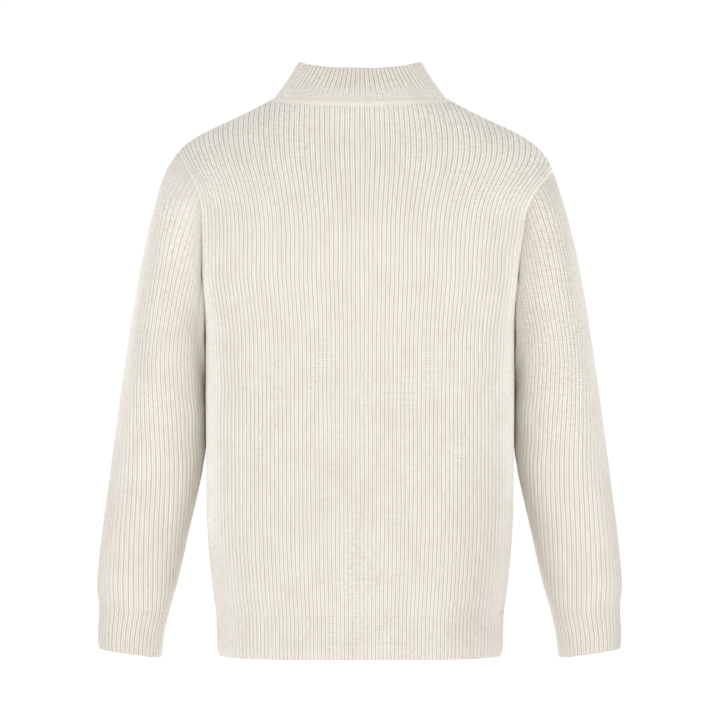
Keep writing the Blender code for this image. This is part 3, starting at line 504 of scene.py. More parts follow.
class HalfBody:
    """Rib lines of one half of the body's back or front, from the middle to the side seam."""

    def __init__(self, side, face):
        self.side, self.face = side, face
        self.numbers = fine(0, BODY_RIBS)
        self.tip = TIP_LEFT if side > 0 else TIP_RIGHT
        self.heights = np.linspace(HEM_BOTTOM - 0.005, ARMHOLE_LOW, 260)
        rings = smooth(BODY, self.heights)
        turn = np.linspace(0, math.pi / 2, ARC_STEPS)
        start = 0.0 if face > 0 else PLACKET / 2
        yoke = YOKE_RIBS / BODY_RIBS
        self.x = np.empty((len(self.heights), len(self.numbers)))
        self.y = np.empty_like(self.x)
        for i, (width, back, front, power) in enumerate(rings):
            x, y, length = arc(width, back if face > 0 else front, power, turn)
            marks = np.interp([start, start + (length[-1] - start) * yoke, length[-1]], length, x)
            # The rib lines keep nearly even distances as seen from behind.
            seen = np.hypot(np.diff(x), SIDE_PACKING * np.diff(y))
            seen = np.concatenate([[0.0], np.cumsum(seen)])
            marks = np.interp(marks, x, seen)
            want = np.interp(self.numbers, [0, YOKE_RIBS, BODY_RIBS], marks)
            self.x[i] = np.interp(want, seen, x)
            self.y[i] = np.interp(want, seen, y)
        if face < 0:
            self.x[:, 0] = PLACKET / 2

    def at(self, z):
        """Points at heights z (rows, columns) below the armhole."""
        levels = np.repeat(self.heights[:, None], z.shape[1], axis=1)
        x = through(levels, z, self.x)
        y = through(levels, z, self.y)
        lift = HEM_LIFT * grown(-z, LIFTED)
        return np.stack([self.side * x, self.face * y, z + lift], axis=-1)

    def rows_at(self, heights):
        """Level rows of points at these heights."""
        return self.at(np.repeat(heights[:, None], len(self.numbers), axis=1))

    def yoke_x(self, z):
        """The rib lines fan out along the armhole, then lean back in to the shoulder."""

        def below(low):
            t = np.clip((low - YOKE_FAN[0]) / (YOKE_FAN[1] - YOKE_FAN[0]), 0, 1)
            wider = 1 + YOKE_SPREAD * t * t * (3 - 2 * t)
            edge = armhole_x(self.side, low) - self.x[-1, YOKE_RIBS * PARTS_OF_RIB] * wider
            share = np.clip(self.numbers / YOKE_RIBS, 0, 1) ** EDGE_POWER
            return self.x[-1] * wider + edge * share

        slope = (below(self.tip + 0 * z) - below(self.tip - 0.001 + 0 * z)) / 0.001
        over = np.maximum(z - self.tip, 0)
        x = below(np.minimum(z, self.tip)) + slope * (over - over**2 / (2 * LEAN_REACH))
        if self.face < 0:
            x = np.maximum(x, PLACKET / 2)
            x[..., 0] = PLACKET / 2
        return x

    def tops(self):
        """Each yoke line's top, with one line snapped onto the corner of the neckline."""
        count = len(self.numbers)
        low, high = np.full(count, self.tip), np.zeros(count)
        for _ in range(26):
            z = (low + high) / 2
            x = self.yoke_x(z)
            on_neck = x < NECKLINE.width
            top = np.where(on_neck, neckline_height(x, self.face), shoulder_height(x))
            low, high = np.where(z < top, z, low), np.where(z < top, high, z)
        corner = int(np.argmin(np.abs(x - NECKLINE.width)))
        x[corner], top[corner] = NECKLINE.width, shoulder_height(NECKLINE.width)
        top[YOKE_RIBS * PARTS_OF_RIB :] = self.tip
        return x, top, np.arange(count) < corner

    def upper(self, shares):
        """Points by share of the length from the armhole's foot to the top, for all columns."""
        x_top, z_top, on_neck = self.tops()
        rise = np.sin(np.linspace(0, math.pi / 2, TUBE_STEPS))[:, None]
        z = ARMHOLE_LOW + (z_top[None] - ARMHOLE_LOW) * rise
        x = self.yoke_x(z)
        bend = np.clip(rise * 4 - 3, 0, 1) ** 2
        x = x + (x_top[None] - x[-1:]) * bend
        y = depth_at(x, z, self.face)
        y[-1] = np.where(on_neck, y[-1], 0.0)
        line = np.stack([self.side * x, y, z], axis=-1)
        length = along_rows(line)
        want = shares[:, None] * length[-1:]
        return np.stack([through(length, want, line[..., k]) for k in range(3)], axis=-1)

    def lower(self, shares):
        """Points by share of the height from the hem band to the armhole's foot."""
        foot = armhole_foot(self.numbers)
        return self.at(HEM_TOP + (foot[None] - HEM_TOP) * shares[:, None])


def near_ends(count, first, last):
    """Rising shares from 0 to 1, with extra steps close to each end that is given a length."""
    extra = np.array([0.0010, 0.0022, 0.0040])
    shares = [np.linspace(0, 1, count)]
    if first:
        shares.append(extra / first)
    if last:
        shares.append(1 - extra / last)
    return np.unique(np.round(np.concatenate(shares), 6))


LOWER_SHARES = near_ends(42, 0.40, 0.0)
UPPER_SHARES = near_ends(32, 0.0, 0.21)


def joined(halves, first, last):
    """Rib numbers and points from right to left, of one half of the body or of both."""
    numbers = fine(0, BODY_RIBS)
    if first >= 0:
        return numbers, halves[LEFT]
    if last <= 0:
        return -numbers[::-1], halves[RIGHT][:, ::-1]
    columns = np.concatenate([-numbers[:0:-1], numbers])
    return columns, np.concatenate([halves[RIGHT][:, :0:-1], halves[LEFT]], axis=1)


class Body:
    """The grids of one face of the body, left and right, with the yoke's extra rows."""

    def __init__(self, face):
        self.face = face
        self.arm_row = len(LOWER_SHARES) - 1
        self.halves = {}
        for side in (LEFT, RIGHT):
            half = HALVES[(side, face)]
            lower, upper = half.lower(LOWER_SHARES), half.upper(UPPER_SHARES)
            self.halves[side] = np.concatenate([lower, upper[1:]])

    def part(self, first, last):
        """Columns, points and kept vertices between two rib lines."""
        columns, points = joined(self.halves, first, last)
        kept = np.ones(points.shape[:2], bool)
        kept[self.arm_row + 1 :] = np.abs(columns) <= YOKE_RIBS
        return columns, points, kept

    def arm_edge(self, side):
        """The armhole's edge from the shoulder tip down to the underarm."""
        points = self.halves[side]
        yoke = YOKE_RIBS * PARTS_OF_RIB
        down = points[: self.arm_row : -1, yoke]
        under = points[self.arm_row, yoke:]
        edge = np.concatenate([down, under])
        edge[:, 1] = self.face * np.maximum(self.face * edge[:, 1], 0.0)
        return edge

    def neck_edge(self, side):
        """The neckline from the middle to the corner with the shoulder seam."""
        points = self.halves[side][-1]
        corner = int(np.argmin(np.abs(np.abs(points[:, 0]) - NECKLINE.width)))
        return points[: corner + 1]


# ---- Unevenness ----


def drift(columns, rows, seed, size):
    """A soft random field over columns and rows, for wandering ribs: rows in metres."""
    rng = np.random.default_rng(seed)
    field = np.zeros(np.broadcast(columns, rows).shape)
    for wave in WAVES:
        a, b = rng.uniform(0, 2 * math.pi, 2)
        swing = rng.uniform(0.6, 1.0)
        turn = rows * 2 * math.pi / wave + a + 1.7 * np.sin(columns * 0.61 + b)
        field += swing * wave * np.sin(turn)
    return size * field / WAVES[0]


def wandered(points, sway):
    """Points moved across the ribs."""
    return points + unit(np.gradient(points, axis=1)) * sway[..., None]


def creased(x, z, table, strength):
    """Height of soft creases. Each is a line in x and z with a width and a height."""
    total = np.zeros(np.shape(x))
    for x0, z0, x1, z1, width, height in table:
        dx, dz = x1 - x0, z1 - z0
        t = np.clip(((x - x0) * dx + (z - z0) * dz) / (dx * dx + dz * dz), 0, 1)
        away = np.hypot(x - x0 - t * dx, z - z0 - t * dz)
        total += height * near(away, width) * (0.35 + 0.65 * np.sin(math.pi * t))
    return total * strength


# x, z at both ends, width and height, in metres.
BACK_CREASES = (
    (-0.178, -0.300, -0.110, -0.352, 0.011, 0.0014),
    (-0.180, -0.325, -0.105, -0.392, 0.013, -0.0012),
    (0.178, -0.298, 0.118, -0.345, 0.010, 0.0013),
    (0.182, -0.330, 0.112, -0.400, 0.014, -0.0012),
    (-0.095, -0.575, 0.030, -0.592, 0.012, 0.0008),
    (0.010, -0.560, 0.120, -0.586, 0.012, -0.0007),
    (-0.150, -0.600, -0.060, -0.606, 0.009, 0.0009),
    (0.060, -0.603, 0.160, -0.598, 0.009, 0.0010),
    (-0.060, -0.040, -0.020, -0.110, 0.016, -0.0006),
    (0.060, -0.040, 0.022, -0.115, 0.016, -0.0006),
)
FRONT_CREASES = (
    (-0.176, -0.292, -0.090, -0.360, 0.012, 0.0020),
    (-0.178, -0.320, -0.085, -0.400, 0.014, -0.0018),
    (0.176, -0.290, 0.096, -0.352, 0.012, 0.0018),
    (0.180, -0.322, 0.090, -0.405, 0.014, -0.0017),
    (-0.100, -0.560, -0.012, -0.588, 0.011, 0.0012),
    (0.012, -0.572, 0.110, -0.590, 0.011, 0.0013),
    (-0.150, -0.602, -0.050, -0.607, 0.009, 0.0010),
    (0.040, -0.606, 0.155, -0.600, 0.009, 0.0011),
    (0.008, -0.130, 0.050, -0.180, 0.016, -0.0012),
    (-0.008, -0.128, -0.052, -0.176, 0.016, -0.0012),
)
# Share round the sleeve (0 outer line, 1 underarm; minus in front), height, both ends.
SLEEVE_CREASES = (
    (0.35, -0.395, 1.00, -0.375, 0.012, 0.0016),
    (0.45, -0.425, 1.00, -0.412, 0.013, -0.0014),
    (-0.95, -0.400, -0.30, -0.430, 0.013, 0.0018),
    (-1.00, -0.430, -0.35, -0.455, 0.013, -0.0016),
    (0.05, -0.585, 0.80, -0.592, 0.009, 0.0013),
    (-0.60, -0.590, 0.20, -0.602, 0.009, 0.0012),
    (0.10, -0.560, 0.90, -0.566, 0.010, -0.0009),
    (-0.85, -0.556, -0.10, -0.568, 0.010, 0.0010),
    (0.50, -0.265, 0.95, -0.300, 0.012, -0.0012),
    (-0.95, -0.300, -0.45, -0.262, 0.012, -0.0012),
)


# ---- Making cloth ----


def groove_share(columns):
    """Share of the groove's depth, by place in the rib."""
    sixths = np.arange(PARTS_OF_RIB + 1) / PARTS_OF_RIB
    return np.interp(np.abs(columns) % 1.0, sixths, RIB_SHAPE)


def inner_face(columns):
    """Depth of the inside, whose grooves lie behind the crests."""
    middle = np.abs(np.abs(columns) % 1.0 - 0.5)
    return WALL - INNER_GROOVE * near(middle, INNER_SPREAD)[None]


def grid_mesh(name, points, coordinates, kept=None, weld=False):
    """A grid of vertices set to points, with texture coordinates and each vertex's number."""
    rows, columns = points.shape[:2]
    bm = bmesh.new()
    bm.loops.layers.uv.new("UVMap")
    bmesh.ops.create_grid(bm, x_segments=columns - 1, y_segments=rows - 1, size=1)
    mesh = bpy.data.meshes.new(name)
    bm.to_mesh(mesh)
    bm.free()
    mesh.vertices.foreach_set("co", points.reshape(-1).astype(np.float32))
    corner = np.empty(len(mesh.loops), np.int32)
    mesh.loops.foreach_get("vertex_index", corner)
    flat = coordinates.reshape(-1, 2)[corner]
    mesh.uv_layers["UVMap"].data.foreach_set("uv", flat.reshape(-1).astype(np.float32))
    number = mesh.attributes.new("number", "INT", "POINT")
    number.data.foreach_set("value", np.arange(rows * columns, dtype=np.int32))
    if kept is None and not weld:
        return mesh
    bm = bmesh.new()
    bm.from_mesh(mesh)
    bm.verts.ensure_lookup_table()
    if kept is not None:
        gone = [bm.verts[i] for i in np.flatnonzero(~kept.reshape(-1))]
        bmesh.ops.delete(bm, geom=gone, context="VERTS")
    if weld:
        edge = [v for v in bm.verts if v.is_boundary]
        bmesh.ops.remove_doubles(bm, verts=edge, dist=2e-5)
    bm.to_mesh(mesh)
    bm.free()
    return mesh


def thick_cloth(
    name, points, normals, outer, inner, coordinates, kept=None, weld=False, looks=(1.0, 1.0)
):
    """A wall of cloth: outer and inner are depths below the points, along the normals.

    Looks are the strength of the painted groove shade and the painted light and shade on the yarn.
    """
    mesh = grid_mesh(name + "_flat", points, coordinates, kept, weld)
    made = bpy.data.objects.new(name, mesh)
    bpy.context.scene.collection.objects.link(made)
    wall = made.modifiers.new("Wall", "SOLIDIFY")
    wall.thickness = WALL
    wall.offset = -1
    outward = normals.reshape(-1, 3)
    middle = mesh.polygons[len(mesh.polygons) // 2]
    at = mesh.attributes["number"].data[middle.vertices[0]].value
    if Vector(outward[at]).dot(middle.normal) < 0:
        mesh.flip_normals()
    graph = bpy.context.evaluated_depsgraph_get()
    graph.update()
    solid = bpy.data.meshes.new_from_object(made.evaluated_get(graph))
    made.modifiers.clear()
    made.data = solid
    solid.name = name
    half = len(mesh.vertices)
    if len(solid.vertices) != 2 * half:
        raise RuntimeError(f"{name}: the wall has {len(solid.vertices)} vertices, not {2 * half}")
    # The first half of the vertices is the outside. Each one goes to its own depth.
    number = np.empty(2 * half, np.int32)
    solid.attributes["number"].data.foreach_get("value", number)
    depth = np.concatenate([outer.reshape(-1)[number[:half]], inner.reshape(-1)[number[half:]]])
    place = points.reshape(-1, 3)[number] - outward[number] * depth[:, None]
    solid.vertices.foreach_set("co", place.reshape(-1).astype(np.float32))
    solid.attributes.remove(solid.attributes["number"])
    # Two point attributes: the painted groove shade's strength, and painted light and shade.
    for key, value in zip(("contrast", "painted_shading"), looks):
        value = (value + np.zeros(outer.shape)).reshape(-1)[number].astype(np.float32)
        solid.attributes.new(key, "FLOAT", "POINT").data.foreach_set("value", value)
    solid.shade_smooth()
    # The rim's faces come after both sides' faces, and its edges are sharp.
    edges = np.empty(len(solid.loops), np.int32)
    solid.loops.foreach_get("edge_index", edges)
    rim = np.zeros(len(solid.edges), bool)
    rim[edges[solid.polygons[2 * len(mesh.polygons)].loop_start :]] = True
    solid.attributes.new("sharp_edge", "BOOLEAN", "EDGE").data.foreach_set("value", rim)
    solid.update()
    bpy.data.meshes.remove(mesh)
    return made


def rounding(distance):
    """How far a wall's two sides draw together this near to a free edge."""
    radius = WALL / 2
    inside = np.clip(radius - distance, 0, radius)
    return radius - np.sqrt(radius**2 - inside**2)


def zip_edge(points, outer, inner, away=0.0):
    """Draws a wall's two sides together beside the zip."""
    edge = rounding(np.abs(np.abs(points[..., 0]) - PLACKET / 2) + away)
    return outer + ZIP_EDGE * edge, inner - ZIP_EDGE * edge


def drawn_in(distance):
    """How far the cloth draws in this near to its free edge."""
    return EDGE_DRAW * near(distance, EDGE_REACH)


def dip(distance, depth=SEAM_DIP):
    """A shallow groove along a seam."""
    return depth * near(distance, SEAM_REACH)


def sewn(distance):
    """A seam's groove beside its edge, and how far the ribs have come back."""
    return SEAM_DIP * near(distance - SEWN_AWAY, SEWN_REACH), 1 - near(distance, RIBS_RETURN)


def grooves(columns, seam, strength=1.0):
    """Depth of the outside: the ribs' grooves, which run out where a seam draws the knit in."""
    drawn = np.clip(seam / SEAM_DIP, 0, 1)
    depth = settings().groove * groove_share(columns)[None] * strength
    return depth * (1 - SEAM_CALM * drawn) + seam


def dress(made, material, slot, body, *nodes):
    """Gives a piece its finish, the nodes that it replaces and its body. The slot is not used."""
    made.data.materials.clear()
    made.data.materials.append(material)
    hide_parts(*nodes)
    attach(made, body)
    return made


def settings():
    """The garment's settings in the open scene."""
    return bpy.context.scene.cardigan


def side_looks(columns, height):
    """Weaker painted groove shade toward the sides; painted light at the sides up high, painted
    shade at the sides low down, at the lower left and right and along the hem.
    """
    side = grown(np.abs(columns), SIDE) + np.zeros(height.shape)
    low = grown(-height, SIDE_DOWN)
    left = grown(columns, LEFT_SIDE) * grown(-height, LEFT_DOWN)
    right = grown(-columns, RIGHT_SIDE) * grown(-height, RIGHT_DOWN)
    hem = grown(-height, HEM_DOWN)
    # Painted light and painted shade, multiplied onto the yarn's colour.
    painted_shading = 1 + side * (SIDE_PAINTED_LIGHT - SIDE_PAINTED_SHADE * low)
    painted_shading = painted_shading - LEFT_PAINTED_SHADE * left - RIGHT_PAINTED_SHADE * right - HEM_PAINTED_SHADE * hem
    soft = grown(np.abs(columns), SOFT_SIDE) * grown(-height, SOFT_DOWN)
    return (1 - SMOOTHER * side) * (1 - SMOOTHER * soft), painted_shading


def stitch_map(columns, height):
    """Texture coordinates: ribs across and courses up."""
    across = np.broadcast_to(columns, height.shape)
    return np.stack([across, height / settings().course], axis=-1)


# ---- Body panels and hems ----


def body_cloth(name, first, last, face, creases):
    """The back or one front, from the hem band to the shoulder seam and neckline."""
    s = settings()
    body = BODIES[face]
    columns, points, kept = body.part(first, last)
    normals = body_normal(points, face)
    length = along_rows(points)
    ends = np.where(np.abs(columns) <= YOKE_RIBS, len(points) - 1, body.arm_row)
    total = length[ends, np.arange(len(columns))]
    to_top = np.abs(total[None] - length)
    on_shoulder = np.abs(points[-1, :, 0]) > NECKLINE.width
    calm = 1 - SHOULDER_CALM * near(to_top, SHOULDER_REACH) * on_shoulder
    # Only the rows above the armhole's foot have a sewn edge at their side.
    upper = (np.arange(len(points)) > body.arm_row)[:, None]
    arm, back = sewn((YOKE_RIBS - np.abs(columns))[None] * YOKE_PITCH)
    foot, foot_back = sewn(to_top)
    seam = dip(length, BAND_DIP) + np.maximum(foot, arm * upper)
    calm = calm * foot_back * np.where(upper, back, 1.0)
    crease = creased(points[..., 0], points[..., 2], creases, s.crease)
    outer = grooves(columns, seam, calm) - crease
    inner = inner_face(columns) + np.zeros_like(length) - crease
    if face < 0:
        outer, inner = zip_edge(points, outer, inner)
    sway = drift(columns[None], points[..., 2], s.seed + int(face), BODY_WANDER)
    fade = np.clip(np.minimum(length, total[None] - length) / WANDER_FADE, 0, 1)
    fade = fade * np.clip((BODY_RIBS - np.abs(columns)) / STEADY_RIBS, 0, 1)[None]
    moved = wandered(points, sway * fade)
    if face < 0:
        moved[:, np.abs(columns) < 1] = points[:, np.abs(columns) < 1]
    # Painted groove shade and painted light and shade on the yarn, which give way above the
    # armhole's foot.
    contrast, painted_shading = side_looks(columns, points[..., 2])
    low = fallen(points[..., 2], YOKE_LOOKS)
    near_arm = ARM_CONTRAST + (1 - ARM_CONTRAST) * fallen(np.abs(columns), BESIDE_ARM)
    looks = near_arm + (contrast - near_arm) * low, 1 + (painted_shading - 1) * low
    stitch = stitch_map(columns, HEM_TOP + length)
    return thick_cloth(name, moved, normals, outer, inner, stitch, kept, looks=looks)


def hem_cloth(name, first, last, face):
    """A hem band, from its free edge up to the panel above it."""
    deep = HEM_TOP - HEM_BOTTOM
    rows = HEM_BOTTOM + deep * near_ends(9, deep, deep)
    halves = {side: HALVES[(side, face)].rows_at(rows) for side in (LEFT, RIGHT)}
    columns, points = joined(halves, first, last)
    normals = unit(body_normal(points, face) * (1, 1, 0))
    height = points[..., 2]
    up = height - height[:1]
    end = rounding(up)
    outer = grooves(columns, dip(height - height[-1:], BAND_DIP)) + end + drawn_in(up)
    inner = inner_face(columns) - end + drawn_in(up)
    if face < 0:
        outer, inner = zip_edge(points, outer, inner)
    stitch = stitch_map(columns, height)
    looks = side_looks(columns, height)
    return thick_cloth(name, points, normals, outer, inner, stitch, looks=looks)


# ---- Sleeves and cuffs ----


def tube_points(share, height, face):
    """Points of the left sleeve's tube at shares round it (0 outer line, 1 underarm)."""
    shape = np.broadcast(share, height, face).shape
    share, height, face = (np.broadcast_to(v, shape).reshape(-1) for v in (share, height, face))
    out = np.empty((len(share), 3))
    turn = np.linspace(0, math.pi, TUBE_STEPS)
    for start in range(0, len(share), AT_ONCE):
        part = slice(start, start + AT_ONCE)
        inner, outer, depth, middle, _ = smooth(SLEEVE, height[part]).T
        half = (outer - inner) / 2
        y, x, length = arc(depth[:, None], half[:, None], SLEEVE_POWER, turn[None])
        want = share[part] * length[:, -1]
        rows = np.arange(len(want))
        k = np.clip((length < want[:, None]).sum(axis=1), 1, TUBE_STEPS - 1)
        low, high = length[rows, k - 1], length[rows, k]
        t = np.clip((want - low) / np.maximum(high - low, 1e-12), 0, 1)
        px = x[rows, k - 1] * (1 - t) + x[rows, k] * t
        py = y[rows, k - 1] * (1 - t) + y[rows, k] * t
        out[part] = np.stack([(outer + inner) / 2 + px, middle + face[part] * py, height[part]], 1)
    return out.reshape(shape + (3,))


def ribs_at(height):
    """Half the ribs round a sleeve at these heights."""
    rows = np.array(sorted((s.height, s.ribs) for s in SLEEVE))
    upper = np.interp(height, rows[:, 0], rows[:, 1])
    reach = np.clip((height - HEM_TOP) / (SEAM_START - HEM_TOP), 0, 1)
    lower = CUFF_RIBS + (SLEEVE_RIBS - CUFF_RIBS) * reach
    return np.where(height < SEAM_START, lower, np.where(height < WIDEST, SLEEVE_RIBS, upper))


def cuff_tilt(share):
    """How much higher the cuff's seam lies, by share round the sleeve."""
    return CUFF_TILT * (1 + np.cos(math.pi * share)) / 2


def seam_height(number):
    """Where a sleeve's rib ends: at the cuff, or at the seam under the arm."""
    cuff = HEM_TOP + cuff_tilt(np.minimum(number / CUFF_RIBS, 1))
    reach = (number - CUFF_RIBS) / (SLEEVE_RIBS - CUFF_RIBS)
    return np.where(number <= CUFF_RIBS, cuff, HEM_TOP + (SEAM_START - HEM_TOP) * reach)


def grid_normals(points, outward, closed=False):
    """Unit vectors across a grid, turned the way that outward points."""
    if closed:
        wide = np.concatenate([points[:, -2:-1], points, points[:, 1:2]], axis=1)
        across = (wide[:, 2:] - wide[:, :-2]) / 2
    else:
        across = np.gradient(points, axis=1)
    normals = unit(np.cross(across, np.gradient(points, axis=0)))
    return normals * np.sign((normals * outward).sum())


def tube_normals(points, side, centre):
    """Unit vectors across a tube's grid, away from its centre line."""
    middle = points * (0, 0, 1) + (side * centre[0], centre[1], 0)
    return grid_normals(points, points - middle, closed=True)


def sewn_edge(columns, side):
    """Where each rib of the sleeve starts at the armhole, and the body's outward way there."""
    number = np.abs(columns)
    at = (number / SLEEVE_RIBS) ** CAP_POWER
    start, beside = np.empty((len(columns), 3)), np.empty((len(columns), 3))
    for face in (BACK, FRONT):
        pick = (columns >= 0) == (face > 0)
        edge = BODIES[face].arm_edge(side)
        length = line_length(edge)
        start[pick] = read_line(at[pick], length / length[-1], edge)
        beside[pick] = body_normal(start[pick], face)
    start[(number == SLEEVE_RIBS) | (number == 0), 1] = 0.0
    return start, beside


def sleeve_points(columns, start, side):
    """Points down each rib, from the armhole to the cuff or the seam, and their heights."""
    number = np.abs(columns)
    face = np.where(columns >= 0, BACK, FRONT)
    end = seam_height(number)
    shares = near_ends(84, 0.45, 0.45)
    height = start[None, :, 2] + (end - start[:, 2])[None] * shares[:, None]
    points = tube_points(np.minimum(number[None] / ribs_at(height), 1.0), height, face[None])
    origin = tube_points(np.minimum(number / ribs_at(start[:, 2]), 1.0), start[:, 2], face)
    points[..., 0] *= side
    origin[:, 0] *= side
    # The armhole pulls the sleeve's top to its own edge.
    outside, underarm = CAP_FADE
    fade = outside + (underarm - outside) * number / SLEEVE_RIBS
    share = blend((start[None, :, 2] - height) / fade[None])
    points[..., :2] += (start - origin)[None, :, :2] * share[..., None]
    return points, height


def sleeve_looks(contrast, share, height, length, side):
    """Painted light on the sleeve toward the body; painted shade low down, along the outer line and
    at the shoulder, where the left sleeve's painted groove shade is also weaker.
    """
    cap = near(length, CAP_REACH)
    painted_shading = SLEEVE_PAINTED_LEVEL + INNER_PAINTED_LIGHT * grown(share, INNER_LIT)
    painted_shading = painted_shading - SLEEVE_PAINTED_SHADE * grown(-height, SLEEVE_DOWN)
    painted_shading = painted_shading - outer_shade(share, height, side)
    return contrast * (1 - CAP_SMOOTHER[side] * cap), painted_shading * (1 - CAP_PAINTED_SHADE[side] * cap)


def close_tube(points, normals, columns, flat):
    """Brings the ribs' ends together at the seam under the arm, and the tube's two edges."""
    pairs = np.flatnonzero(columns > CUFF_RIBS - 0.01)
    mirror = len(columns) - 1 - pairs
    points[-1, pairs] = points[-1, mirror] = (points[-1, pairs] + points[-1, mirror]) / 2
    normals[-1, pairs] = normals[-1, mirror] = flat
    points[:, 0] = points[:, -1] = (points[:, 0] + points[:, -1]) / 2
    normals[:, 0] = normals[:, -1] = unit(normals[:, 0] + normals[:, -1])


def sleeve_cloth(name, side):
    """A sleeve: columns run round it from underarm to underarm, rows down it."""
    s = settings()
    columns = fine(-SLEEVE_RIBS, SLEEVE_RIBS)
    number = np.abs(columns)
    start, beside = sewn_edge(columns, side)
    points, height = sleeve_points(columns, start, side)
    share = number[None] / ribs_at(height)
    normals = tube_normals(points, side, SLEEVE_MIDDLE)
    flat = np.array([-side, 0.0, 0.0])
    normals[number[None] >= ribs_at(height) - 1e-6] = flat
    length = along_rows(points)
    total = length[-1:]
    # The sewn edge turns to face the way the body's does.
    agree = np.clip((normals[0] * beside).sum(axis=-1) * 1.6 + 0.2, 0, 1)
    turn = agree[None, :, None] * near(length, TURN_REACH)[..., None]
    normals = unit(normals * (1 - turn) + beside[None] * turn)
    # Grooves fade where the underarm seam cuts the ribs off.
    to_seam = np.clip((1 - share) * ribs_at(height) * SLEEVE_PITCH, 0, 1)
    arm, back = sewn(length)
    seam = arm + dip(total - length, BAND_DIP) + 0.8 * dip(to_seam)
    cap = (1 - 0.4 * near(length, CAP_CALM_REACH)) * back
    contrast = tube_contrast(share, columns)
    # The table's shares round the sleeve are scaled to about metres.
    table = [(0.1 * a, b, 0.1 * c, d, w, h) for a, b, c, d, w, h in SLEEVE_CREASES]
    crease = creased(0.1 * np.sign(columns)[None] * share, height, table, s.crease)
    outer = grooves(columns, seam, cap * (0.5 + 0.5 * contrast)) - crease
    inner = inner_face(columns) - crease
    sway = drift(columns[None], height, s.seed + 11 + int(side), SLEEVE_WANDER)
    calm = np.clip(np.minimum(length, total - length) / WANDER_FADE, 0, 1)
    moved = wandered(points, sway * (calm * np.clip(to_seam / 0.01, 0, 1)))
    close_tube(moved, normals, columns, flat)
    stitch = stitch_map(columns, start[None, :, 2] - length)
    looks = sleeve_looks(contrast, share, height, length, side)
    moved = flared(moved, side)
    return thick_cloth(name, moved, normals, outer, inner, stitch, weld=True, looks=looks)


def tube_contrast(share, columns):
    """Weaker ribs along the sleeve's outer line and beside the body: less painted groove shade, and
    on the sleeve shallower grooves as well.
    """
    outside, inside = fallen(share, OUTER_SMOOTH), grown(share, INNER_SMOOTH)
    most = OUTER_SMOOTHER + BEHIND_SMOOTHER * np.clip(columns / BEHIND_RIBS, -1, 1)
    return 1 - most * outside - SMOOTHER * inside


def outer_shade(share, height, side):
    """Painted shade along the sleeve's outer line, and more of it lower down."""
    start, more = OUTER_PAINTED_SHADE[side]
    return fallen(share, OUTER_SHADED) * (start + more * grown(-height, OUTER_DOWN))


def flared(points, side):
    """The outer line stands out a little toward the wrist, and the cuff hangs lower."""
    wide = grown(-points[..., 2], FLARE_DOWN) * CUFF_FLARE[side]
    out = (np.abs(points[..., 0]) - FLARE_OUT.start) / FLARE_OUT.reach
    points[..., 0] += side * wide * np.clip(out, 0, 1)
    lean = np.interp(points[..., 2], *zip(*TUCK))
    points[..., 0] -= side * lean * fallen(np.abs(points[..., 0]), TUCK_OUT)
    points[..., 2] -= CUFF_DROP * grown(-points[..., 2], DROP_DOWN)
    return points


def cuff_cloth(name, side):
    """A cuff: a tube whose two ends are tilted alike."""
    columns = fine(-CUFF_RIBS, CUFF_RIBS)
    share = np.minimum(np.abs(columns) / CUFF_RIBS, 1.0)
    face = np.where(columns >= 0, BACK, FRONT)
    tilt = cuff_tilt(share)
    top = HEM_TOP + tilt
    bottom = CUFF_END - CUFF_TILT + tilt
    up = near_ends(9, 0.045, 0.045)[:, None]
    height = bottom[None] + (top - bottom)[None] * up
    points = tube_points(share[None], height, face[None])
    points[..., 0] *= side
    normals = unit(tube_normals(points, side, CUFF_MIDDLE) * (1, 1, 0))
    normals[:, 0] = normals[:, -1] = (-side, 0, 0)
    free = rounding(height - bottom[None])
    draw = CUFF_DRAW * drawn_in(height - bottom[None])
    outer = grooves(columns, dip(height - top[None], BAND_DIP)) + free + draw
    inner = inner_face(columns) - free + draw
    stitch = stitch_map(columns, height)
    # Painted shade on the cuffs, more toward their free end and along the outer line.
    painted_shading = CUFF_PAINTED_LEVEL - CUFF_PAINTED_SHADE * (1 - up) - outer_shade(share[None], height, side)
    looks = CUFF_CONTRAST * tube_contrast(share, columns)[None], painted_shading
    points = flared(points, side)
    return thick_cloth(name, points, normals, outer, inner, stitch, weld=True, looks=looks)


# ---- Neck band and collar ----


def collar_loop(share, face):
    """Points of the collar's top edge by share of its back or front, and their depth's share."""
    depth = np.where(face > 0, COLLAR_TOP.back, COLLAR_TOP.front)
    x, y = np.empty(len(share)), np.empty(len(share))
    turn = np.linspace(0, math.pi / 2, ARC_STEPS)
    for f, deep, start in ((BACK, COLLAR_TOP.back, 0.0), (FRONT, COLLAR_TOP.front, PLACKET / 2)):
        pick = face == f
        out, away, length = arc(COLLAR_TOP.width, deep, NECK_POWER, turn)
        want = start + share[pick] * (length[-1] - start)
        x[pick] = np.interp(want, length, out)
        y[pick] = f * np.interp(want, length, away)
    return x, y, np.abs(y) / depth


